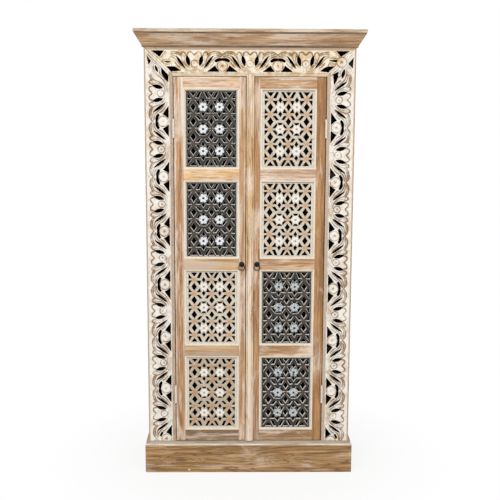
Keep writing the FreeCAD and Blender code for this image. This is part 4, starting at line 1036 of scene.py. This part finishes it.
# %% The three boards
CROWN_LOW = top_high[2]
FOOT = border_low[2]
for side, sign in (("left", -1), ("right", 1)):
    carved_board(
        side, FOOT, CROWN_LOW,
        kept_openings(side, range(-8, 3), [(CROWN_LOW, -1, SIDE_CORNERS[side])],
                      lambda across, along: along > FOOT + MITRE_SLACK
                      and CROWN_LOW - along > max(across + MITRE_SLACK, CORNER_REACH)),
        lambda across, along: (CROWN_LOW - along - across)/math.sqrt(2),
        lambda across, along: (sign*(HALF_BODY - across), along),
        side_carving, CROWN_LOW - CORNER_ROSETTE if side == "right" else None)
carved_board(
    "top", -HALF_BODY, HALF_BODY,
    kept_openings("top", range(-2, 3),
                  [(-HALF_BODY, 1, TOP_CORNERS["left"]), (HALF_BODY, -1, TOP_CORNERS["right"])],
                  lambda across, along: HALF_BODY - abs(along) > max(across + MITRE_SLACK, CORNER_REACH)),
    lambda across, along: (HALF_BODY - np.abs(along) - across)/math.sqrt(2),
    lambda across, along: (along, CROWN_LOW - across),
    top_carving, HALF_BODY - CORNER_ROSETTE)


# %% [markdown]
# ## Pierced panels
# Each door holds four panels sawn through in a lattice of diamonds round two columns of rosettes.
# The chamfered edges kept the white wash, most of it at the sills, and the walls under the sills
# take the same white as a painted highlight, while the flats were rubbed or stained. A picture of
# holes would have no thickness, so the openings are real. One quarter of a panel is drawn and
# mirrored twice.

# %% Lattice outlines
# Half width and half height of the lattice as drawn, and the openings in that quarter
DRAWN_WIDE = 94.3
DRAWN_TALL = 145.9
QUARTER = [
    [(0, 73.2), (8.5, 87.5), (0, 102.3), (-8.5, 87.5)], [(0, 16.1), (9.6, 30.5), (0, 45.4), (-9.6, 30.5)],
    [(72.5, 70.2), (83.1, 87.5), (72.5, 103.3), (61.9, 87.5)],
    [(72.5, 13.2), (83.6, 30.5), (72.5, 47.4), (61.4, 30.5)], [(81.3, 121.9), (95.2, 121.6), (94.7, 141.8)],
    [(81.3, 113.1), (94.7, 92.7), (95.2, 113.4)], [(81.3, 63.9), (95.2, 63.6), (94.7, 82.3)],
    [(81.8, 54.6), (94.7, 37.2), (95.2, 54.9)], [(81.3, 4.9), (95.2, 4.6), (94.7, 23.3)],
    [(0, 131.7), (10.7, 146.5), (-10.7, 146.5)], [(72, 130.2), (85.2, 146.5), (58.8, 146.5)],
    [(6.3, 123.8), (16.5, 123.6), (29.2, 146.6), (19.5, 146.8)],
    [(49.9, 123.6), (61.7, 123.8), (49, 146.8), (39.9, 146.6)],
    [(33, 104.7), (40.8, 114.9), (33, 127.8), (25.2, 114.9)],
    [(33, 48.1), (40.8, 60.6), (33, 70.8), (25.2, 60.6)], [(16.1, 94.7), (23.1, 111.7), (5.9, 112.7)],
    [(49.2, 93.2), (63.7, 112.6), (45, 112.9)], [(5.8, 63.8), (22.6, 64.7), (17.2, 81.3)],
    [(45.5, 63.6), (62.7, 63.9), (47.9, 81.8)], [(17.5, 37), (27.2, 38.5), (18, 51.8), (7.9, 52.7)],
    [(38.8, 37.5), (48.4, 36.6), (62.8, 52), (52.1, 53.4)],
    [(28, 16.6), (38, 16.6), (44.2, 25.6), (21.8, 25.6)],
    [(4.8, 4.9), (13.4, 4.6), (20.5, 12.7), (18.3, 22.3)],
    [(53.6, 4.6), (63.2, 4.9), (47.7, 24.3), (45.5, 13.7)]]
# Place of a rosette in the quarter, and width of the plain rims of a panel
ROSETTE_ACROSS = 33.0
ROSETTE_UP = 87.7
SIDE_RIM = 24.5
END_RIM = 20.5
panel_low, panel_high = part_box("left_door_jali_1")
STRETCH = (((panel_high.x - panel_low.x)/2/MM - SIDE_RIM)/DRAWN_WIDE,
           ((panel_high.z - panel_low.z)/2/MM - END_RIM)/DRAWN_TALL)
print("openings in a quarter panel:", len(QUARTER))


# %% [markdown]
# Two outlines are made of each opening: the one that goes through, which years of rubbing down have
# eased, and a wider one on the face. A chamfer joins them, and it is widest at the sill. An edge
# moves out by its own width, and each corner goes where its two moved edges meet, which is a pair of
# equations.

# %% Openings and chamfers
# Ease of the way through, and chamfer at the sill and at the head, for the small openings
# over and under the rosettes and for the others
CUTS = {"pale": ((0.7, 1.3, 0.8), (1.4, 2.2, 1.5)),
        "brown": ((0.6, 1.3, 0.8), (1.2, 2.1, 1.3)),
        "dark": ((0.0, 1.4, 0.6), (0.4, 2.4, 1.1))}
# A corner may move this many times as far as its edges do
CORNER_LIMIT = 1.05
# Share of the sill's width that an edge takes: a start, and a factor for how far its outer side looks up
SILL_BLEND = (0.1, -1.4)


def widened(points, sill, head):
    """An outline, counterclockwise, with its edges moved out, by sill at its foot and head at its top.
    A sharp corner moves hardly further than its edges do, so that no two outlines meet."""
    edges = np.roll(points, -1, axis=0) - points
    after = np.column_stack([edges[:, 1], -edges[:, 0]])/np.linalg.norm(edges, axis=1)[:, None]
    wide = head + (sill - head)*np.clip(SILL_BLEND[0] + SILL_BLEND[1]*after[:, 1], 0, 1)
    before, wide_before = np.roll(after, 1, axis=0), np.roll(wide, 1)
    sides, widths = np.stack([before, after], axis=1), np.stack([wide_before, wide], axis=1)
    moves = np.linalg.solve(sides, widths[:, :, None])[:, :, 0]
    reach = CORNER_LIMIT*np.maximum(wide, wide_before)
    length = np.maximum(np.linalg.norm(moves, axis=1), 1e-9)
    return points + moves*np.minimum(1, reach/length)[:, None]


def lattice_cells(kind):
    """Pairs of outlines for every opening: the wide one on the face and the one that goes through."""
    cells = {}
    for corners in QUARTER:
        small = abs(np.mean(corners, axis=0)[0] - ROSETTE_ACROSS) < 1
        ease, sill, head = CUTS[kind][0 if small else 1]
        for across in (1, -1):
            for up in (1, -1):
                through = np.array(corners)*[across*STRETCH[0], up*STRETCH[1]]
                if across != up:
                    through = through[::-1]
                cells[tuple(np.round(through.mean(axis=0), 2) + 0.0)] = (
                    widened(through, sill, head), widened(through, ease, ease))
    return list(cells.values())


cells = {kind: lattice_cells(kind) for kind in CUTS}
print("openings in a panel:", len(cells["pale"]))


# %% [markdown]
# A panel is its face and its back, filled between the outlines, with the chamfers and the walls of the
# openings between them. Chamfers take the white edge finish as wash, the walls of the sills take it as
# a painted highlight, and the rest takes the finish of the face. The solid's box reaches out to its
# rosettes, so the board is measured from its back.

# %% Panels of both doors
DARK = {"left_door_jali_1", "left_door_jali_2", "right_door_jali_3", "right_door_jali_4"}
RUBBED = "left_door_jali_4"
PANEL_THICK = 10.0
CHAMFER_DEEP = 2.0
SILL_SLOPE = 0.25


def lattice_panel(node, body):
    """One pierced panel in place of its solid board."""
    low, high = [np.array(corner)/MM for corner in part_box(node)]
    front = high[1] - PANEL_THICK
    middle = (low + high)[[0, 2]]/2
    board = np.array([(low[0], low[2]), (high[0], low[2]), (high[0], high[2]), (low[0], high[2])])
    points, faces, indices = [], [], []

    def ring_at(ring, y):
        start = len(points)
        points.extend((x, y, z) for x, z in ring)
        return list(range(start, len(points)))

    kind = "dark" if node in DARK else "pale"
    rubbed = node == RUBBED
    faces_out, faces_back = [ring_at(board, front)], [ring_at(board, high[1])]
    for wide, through in cells["brown" if rubbed else kind]:
        wide_ring = ring_at(wide + middle, front)
        edge_ring = ring_at(through + middle, front + CHAMFER_DEEP)
        back_ring = ring_at(through + middle, high[1])
        faces_out.append(wide_ring)
        faces_back.append(back_ring)
        runs = np.roll(through, -1, axis=0) - through
        sills = runs[:, 0] > SILL_SLOPE*np.linalg.norm(runs, axis=1)
        chamfers = np.ones(len(runs))
        # Chamfers take the edge finish as wash; the walls of the sills take it as a painted highlight
        for outer, inner, limed in ((wide_ring, edge_ring, chamfers), (edge_ring, back_ring, sills)):
            for corner in range(len(outer)):
                after = (corner + 1) % len(outer)
                faces.append((outer[corner], outer[after], inner[after], inner[corner]))
                indices.append(int(limed[corner]))
    plane = np.array(points)[:, [0, 2]]
    flats = fill(plane, faces_out)
    flats += [face[::-1] for face in fill(plane, faces_back)]
    for corner in range(4):
        after = (corner + 1) % 4
        flats.append((faces_out[0][after], faces_out[0][corner], faces_back[0][corner], faces_back[0][after]))
    faces += flats
    indices += [0]*len(flats)
    finish = (dark_flat, dark_edge) if kind == "dark" else (brown_flat if rubbed else pale_flat, pale_edge)
    marks = {"across": (plane[:, 0] - middle[0])/(CROSS_WIDE*STRETCH[0]),
             "up": (plane[:, 1] - middle[1])/(CROSS_TALL*STRETCH[1])}
    piece(node.replace("jali", "lattice"), np.array(points)*MM, faces, finish, body,
          [node], marks, indices)


doors = ("left_door", "right_door")
for door in doors:
    for number in (1, 2, 3, 4):
        lattice_panel(f"{door}_jali_{number}", door)


# %% [markdown]
# ### Rosettes on the lattice
# Six small six-petalled flowers are carved on every panel: 48 in all. They are chalky white, cooler
# on the charcoal panels of the left door and greyer on those of the right one. All have one shape,
# so one is modelled: rings of points round the middle, pulled in between the petals.

# %% One rosette
# Radius at the tips of the petals and between them, in millimetres, and share of it that is heart
TIP = 18.4
NOTCH = 12.8
HEART = 0.4
PETAL_ROUND = 0.6
NOTCH_SINK = 0.35
PETAL_CRISP = math.radians(50)
# Rings from the middle outwards: share of the radius, and height in millimetres
ROSETTE_RINGS = ((0.0, 0.7), (0.38, 0.7), (0.46, 3.2), (0.6, 3.2), (0.78, 2.7), (0.93, 1.8), (1.0, 0.0))
STEPS = 36


def rosette_mesh():
    """A flower round the origin, opening towards the front, its heart marked for a darker finish."""
    points = [(0.0, -ROSETTE_RINGS[0][1], 0.0)]
    faces = []
    for share, height in ROSETTE_RINGS[1:]:
        for step in range(STEPS):
            angle = 2*math.pi*step/STEPS
            lift = abs(math.cos(3*angle))**PETAL_ROUND
            radius = share*(NOTCH + (TIP - NOTCH)*lift*(share > HEART))
            raised = height*(1 - NOTCH_SINK*(1 - lift)*(share > HEART))
            points.append((radius*math.cos(angle), -raised, radius*math.sin(angle)))
    for step in range(STEPS):
        faces.append((0, 1 + step, 1 + (step + 1) % STEPS))
        for ring in range(len(ROSETTE_RINGS) - 2):
            low, high = 1 + ring*STEPS, 1 + (ring + 1)*STEPS
            after = (step + 1) % STEPS
            faces.append((low + step, high + step, high + after, low + after))
    mesh = bpy.data.meshes.new("rosette")
    mesh.from_pydata([tuple(value*MM for value in point) for point in points], [], faces)
    heart = mesh.attributes.new("heart", "BOOLEAN", "FACE")
    heart.data.foreach_set("value", [max(face) <= STEPS for face in faces])
    mesh.shade_smooth()
    mesh.set_sharp_from_angle(angle=PETAL_CRISP)
    return mesh


rosette = bpy.data.objects.new("rosette", rosette_mesh())
print("one rosette:", len(rosette.data.polygons), "faces")


# %% [markdown]
# A Geometry Nodes tree sets the flower on points. It turns each copy a little, by a fixed seed,
# because hand carving is never twice the same. Then it makes the copies real geometry, and gives
# them their finish and the darker one of their hearts.

# %% Tree that sets a piece on points
def setting_tree():
    """Geometry Nodes group: a piece on every point, turned a little, made real, with two finishes."""
    tree = bpy.data.node_groups.new("set_on_points", "GeometryNodeTree")
    sockets = {}
    for name, kind in (("Points", "Geometry"), ("Piece", "Object"), ("Turn", "Float"), ("Seed", "Int"),
                       ("Finish", "Material"), ("Heart", "Material")):
        made = tree.interface.new_socket(name, in_out="INPUT", socket_type=f"NodeSocket{kind}")
        sockets[name] = made.identifier
    tree.interface.new_socket("Geometry", in_out="OUTPUT", socket_type="NodeSocketGeometry")
    given = add(tree, "NodeGroupInput").outputs
    shape = add(tree, "GeometryNodeObjectInfo", {"Object": given["Piece"]}).outputs["Geometry"]
    least = add(tree, "ShaderNodeMath", {0: given["Turn"], 1: -1.0}, operation="MULTIPLY").outputs[0]
    twist = add(tree, "FunctionNodeRandomValue", {
        2: least, 3: given["Turn"], "Seed": given["Seed"]}, data_type="FLOAT").outputs[1]
    turned = add(tree, "ShaderNodeCombineXYZ", {"Y": twist}).outputs[0]
    copies = add(tree, "GeometryNodeInstanceOnPoints", {
        "Points": given["Points"], "Instance": shape, "Rotation": turned}).outputs[0]
    real = add(tree, "GeometryNodeRealizeInstances", {0: copies}).outputs[0]
    coated = add(tree, "GeometryNodeSetMaterial", {"Geometry": real, "Material": given["Finish"]}).outputs[0]
    heart = add(tree, "GeometryNodeInputNamedAttribute", {"Name": "heart"}, data_type="BOOLEAN").outputs[0]
    hearted = add(tree, "GeometryNodeSetMaterial", {
        "Geometry": coated, "Selection": heart, "Material": given["Heart"]}).outputs[0]
    add(tree, "NodeGroupOutput", {0: hearted})
    return tree, sockets


setting, setting_sockets = setting_tree()
print("inputs of the tree:", list(setting_sockets))


# %% [markdown]
# The tree runs once for each door and each of its two kinds of panel. Its result is kept as a plain
# mesh, and the modifier is taken off, so that the export finds real faces.

# %% Rosettes on the panels
TURN = 0.12
SEED = 11


def set_on_points(name, places, seed, finish, heart):
    """Run the tree on a list of places in metres and keep the result as a plain mesh."""
    mesh = bpy.data.meshes.new(name)
    mesh.from_pydata(places, [], [])
    made = bpy.data.objects.new(name, mesh)
    bpy.context.scene.collection.objects.link(made)
    modifier = made.modifiers.new("setting", "NODES")
    modifier.node_group = setting
    for socket, value in (("Piece", rosette), ("Turn", TURN), ("Seed", seed), ("Finish", finish),
                          ("Heart", heart)):
        modifier[setting_sockets[socket]] = value
    graph = bpy.context.evaluated_depsgraph_get()
    result = bpy.data.meshes.new_from_object(made.evaluated_get(graph))
    made.modifiers.remove(modifier)
    made.data = result
    result.name = name
    return made


for number, door in enumerate(doors):
    stained = rosette_cool if door == "left_door" else rosette_grey
    for kind, petals, heart in (("pale", rosette_white, pale_heart), ("dark", stained, dark_heart)):
        places = []
        for panel in (f"{door}_jali_{row}" for row in (1, 2, 3, 4)):
            if (panel in DARK) != (kind == "dark"):
                continue
            low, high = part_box(panel)
            middle = (low + high)/2
            front = high.y - PANEL_THICK*MM
            places += [(middle.x + across*STRETCH[0]*MM, front, middle.z + up*STRETCH[1]*MM)
                       for across in (-ROSETTE_ACROSS, ROSETTE_ACROSS)
                       for up in (-ROSETTE_UP, 0, ROSETTE_UP)]
        made = set_on_points(f"{door}_{kind}_rosettes", places, SEED + number, petals, heart)
        hold(made, door)
bpy.data.objects.remove(rosette)


# %% [markdown]
# ## Domed roses of the pulls
# The roses under the rings were forged to a low dome. FreeCAD's cone has the right size, but a cone
# catches the light in one hard stripe. A profile turned about its axis, as on a lathe, gives
# the soft highlight of the dome.

# %% Turned roses
# Radius and height of the dome from its edge inwards, in millimetres
ROSE_PROFILE = ((11.0, 0.0), (11.0, 1.0), (10.3, 2.0), (8.8, 3.2), (6.6, 4.2), (3.8, 4.8))
DOME = 5.0
TURNS = 40


def turned_rose(side):
    """A dome against the stile in place of the cone of one pull."""
    low, high = [np.array(corner)/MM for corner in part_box(f"{side}_pull_rose")]
    middle = (low + high)/2
    points = [(middle[0] + radius*math.cos(angle), high[1] - height, middle[2] + radius*math.sin(angle))
              for radius, height in ROSE_PROFILE
              for angle in (2*math.pi*step/TURNS for step in range(TURNS))]
    points.append((middle[0], high[1] - DOME, middle[2]))
    faces = [tuple(reversed(range(TURNS)))]
    for step in range(TURNS):
        after = (step + 1) % TURNS
        for ring in range(0, (len(ROSE_PROFILE) - 1)*TURNS, TURNS):
            faces.append((ring + step, ring + after, ring + TURNS + after, ring + TURNS + step))
        faces.append((len(points) - 1 - TURNS + step, len(points) - 1 - TURNS + after, len(points) - 1))
    piece(f"{side}_pull_dome", np.array(points)*MM, faces, [iron], f"{side}_door",
          [f"{side}_pull_rose"])


for side in ("left", "right"):
    turned_rose(side)


# %% [markdown]
# ## Boards, mouldings and metal that stay as FreeCAD made them
# Most pieces are flat boards, and their solids are already right. They only need their finish and
# softer arrises. A Bevel modifier rounds the sharp edges, and a Weld before it joins the loose
# triangles of the solid, so that there are edges to round.

# %% Finishes of the solid pieces
FINISHES = {
    cornice_wood: ["crown_front"],
    cornice_side: ["crown_left", "crown_right"],
    top_wood: ["top_board"],
    plinth_wood: ["plinth_front"],
    plinth_side: ["plinth_left", "plinth_right", "plinth_blocks"],
    back_plank: ["back_boards"],
    inner_wood: ["floor_board", "shelf_lower", "shelf_middle", "shelf_upper", "shelf_cleats", "header_rail",
                 "door_stop"],
    bead_white: ["left_door_beads", "right_door_beads"],
    hinge_iron: ["left_door_hinge_leaves", "right_door_hinge_leaves", "hinge_pins", "frame_hinge_leaves"],
    steel: ["left_door_strike_plate", "right_door_strike_plate", "left_door_hinge_screws",
            "right_door_hinge_screws", "frame_hinge_screws"],
    iron: ["left_pull_eye", "left_pull_ring", "right_pull_eye", "right_pull_ring"],
    catch_plastic: ["magnet_catches"],
}
for own in (door_woods, side_planks):
    FINISHES.update({finish: [name] for name, finish in own.items()})
UNROUNDED = (bead_white, hinge_iron, steel, iron, catch_plastic)
ARRIS = {plinth_wood: 2.5, plinth_side: 2.5, inner_wood: 1.2}
USUAL_ARRIS = 1.6
BEVEL_FROM = math.radians(35)
for finish, names in FINISHES.items():
    for name in names:
        solid = nodes[name]
        for slot in solid.material_slots:
            slot.material = finish
        if finish in UNROUNDED:
            continue
        weld = solid.modifiers.new("weld", "WELD")
        weld.merge_threshold = 0.02*MM
        bevel = solid.modifiers.new("arris", "BEVEL")
        bevel.width = ARRIS.get(finish, USUAL_ARRIS)*MM
        bevel.segments = 2
        bevel.limit_method = "ANGLE"
        bevel.angle_limit = BEVEL_FROM
        bevel.harden_normals = True
print("solid pieces finished:", sum(len(names) for names in FINISHES.values()))


# %% [markdown]
# ## Floor and light
# A pale floor and a white surround stand for the studio sweep. The floor goes over into white away
# from the cabinet, and keeps its shadow close by.

# %% Floor
# Half the floor's width, and width of the faint patches in its tone, in metres
FLOOR = 6.0
FLOOR_PATCH = 1/3


def seen_directly(tree):
    """1 for what the camera sees, also in a reflection or through glass, 0 for what lights the cabinet."""
    ray = add(tree, "ShaderNodeLightPath").outputs
    seen = ray["Is Camera Ray"]
    for kind in ("Is Glossy Ray", "Is Transmission Ray"):
        seen = add(tree, "ShaderNodeMath", {0: seen, 1: ray[kind]}, operation="MAXIMUM").outputs[0]
    return seen


floor_mesh = bpy.data.meshes.new("studio_floor")
floor_mesh.from_pydata([(-FLOOR, -FLOOR, 0), (FLOOR, -FLOOR, 0), (FLOOR, FLOOR, 0), (-FLOOR, FLOOR, 0)],
                       [], [(0, 1, 2, 3)])
floor = bpy.data.objects.new("studio_floor", floor_mesh)
bpy.context.scene.collection.objects.link(floor)
floor_paint, floor_tree, floor_shader = finish_of("white_studio_floor")
floor_place = add(floor_tree, "ShaderNodeTexCoord").outputs["Object"]
floor_grain = add(floor_tree, "ShaderNodeTexNoise", {
    "Vector": floor_place, "Scale": 1/FLOOR_PATCH}).outputs[0]
floor_tone = add(floor_tree, "ShaderNodeMix", {
    0: floor_grain, 6: tone("#F2F2F1"), 7: tone("#F7F7F6")}, data_type="RGBA").outputs[2]
feed(floor_tree, floor_shader, {"Base Color": floor_tone})
floor_shader.inputs["Roughness"].default_value = 0.9
away = add(floor_tree, "ShaderNodeVectorMath", {0: floor_place}, operation="LENGTH").outputs["Value"]
fade = add(floor_tree, "ShaderNodeMapRange", {
    "Value": away, "From Min": 0.4, "From Max": 1.0, "To Min": 0.86, "To Max": 1.0},
    interpolation_type="SMOOTHSTEP").outputs[0]
seen = seen_directly(floor_tree)
lifted = add(floor_tree, "ShaderNodeMath", {0: fade, 1: seen}, operation="MULTIPLY").outputs[0]
paper = add(floor_tree, "ShaderNodeEmission", {"Color": (1, 1, 1, 1), "Strength": 1.0}).outputs[0]
swept = add(floor_tree, "ShaderNodeMixShader", {0: lifted, 1: floor_shader.outputs[0], 2: paper}).outputs[0]
floor_tree.links.new(swept, floor_tree.nodes["Material Output"].inputs["Surface"])
floor_mesh.materials.append(floor_paint)
print("floor:", 2*FLOOR, "metres wide")


# %% [markdown]
# The world is white to the camera and in reflections, and softer as light. Two large lamps give the
# front a gentle direction, at a level where a colour renders about as it is written.

# %% Light
SKY_LIGHT = 0.58
AIM = (0, 0, 0.9)
LAMP_SIZE = 1.8
world = bpy.data.worlds.new("studio")
bpy.context.scene.world = world
world.use_nodes = True
sky = world.node_tree
strength = add(sky, "ShaderNodeMapRange", {
    "Value": seen_directly(sky), "To Min": SKY_LIGHT, "To Max": 1.0}).outputs[0]
surround = sky.nodes["Background"]
surround.inputs["Color"].default_value = (1, 1, 1, 1)
sky.links.new(strength, surround.inputs["Strength"])


def lamp(name, place, watts):
    """A large square lamp that looks at the middle of the cabinet."""
    light = bpy.data.lights.new(name, "AREA")
    light.size = LAMP_SIZE
    light.energy = watts
    made = bpy.data.objects.new(name, light)
    made.location = place
    made.rotation_euler = (Vector(AIM) - Vector(place)).to_track_quat("-Z", "Y").to_euler()
    bpy.context.scene.collection.objects.link(made)
    print(f"{name}: {watts} watts")


lamp("key_softbox", (-1.6, -3.4, 3.2), 62)
lamp("fill_softbox", (2.2, -3.2, 1.8), 30)


# %% [markdown]
# ## Camera
# The camera stands where the photographer stood: a little left of the middle, at head height,
# looking slightly down. Its directions are worked out from three small angles.

# %% Camera
EYE = (-0.04872, -3.76952, 1.52959)
DOWN, ASIDE, TILT = (math.radians(angle) for angle in (9.123, 0.8141, 0.235))
LENS = 64.216
ahead = Vector((math.sin(ASIDE)*math.cos(DOWN), math.cos(ASIDE)*math.cos(DOWN), -math.sin(DOWN)))
right = Vector((math.cos(ASIDE), -math.sin(ASIDE), 0))
up = right.cross(ahead)
level_right = right*math.cos(TILT) + up*math.sin(TILT)
level_up = up*math.cos(TILT) - right*math.sin(TILT)
view = bpy.data.cameras.new("photographer")
view.sensor_width = 36.0
view.sensor_fit = "HORIZONTAL"
view.lens = LENS
camera = bpy.data.objects.new("photographer", view)
camera.matrix_world = Matrix((level_right, level_up, -ahead)).transposed().to_4x4()
camera.location = EYE
bpy.context.scene.collection.objects.link(camera)
bpy.context.scene.camera = camera
bpy.context.scene.view_settings.view_transform = "Standard"
print("camera at", EYE)
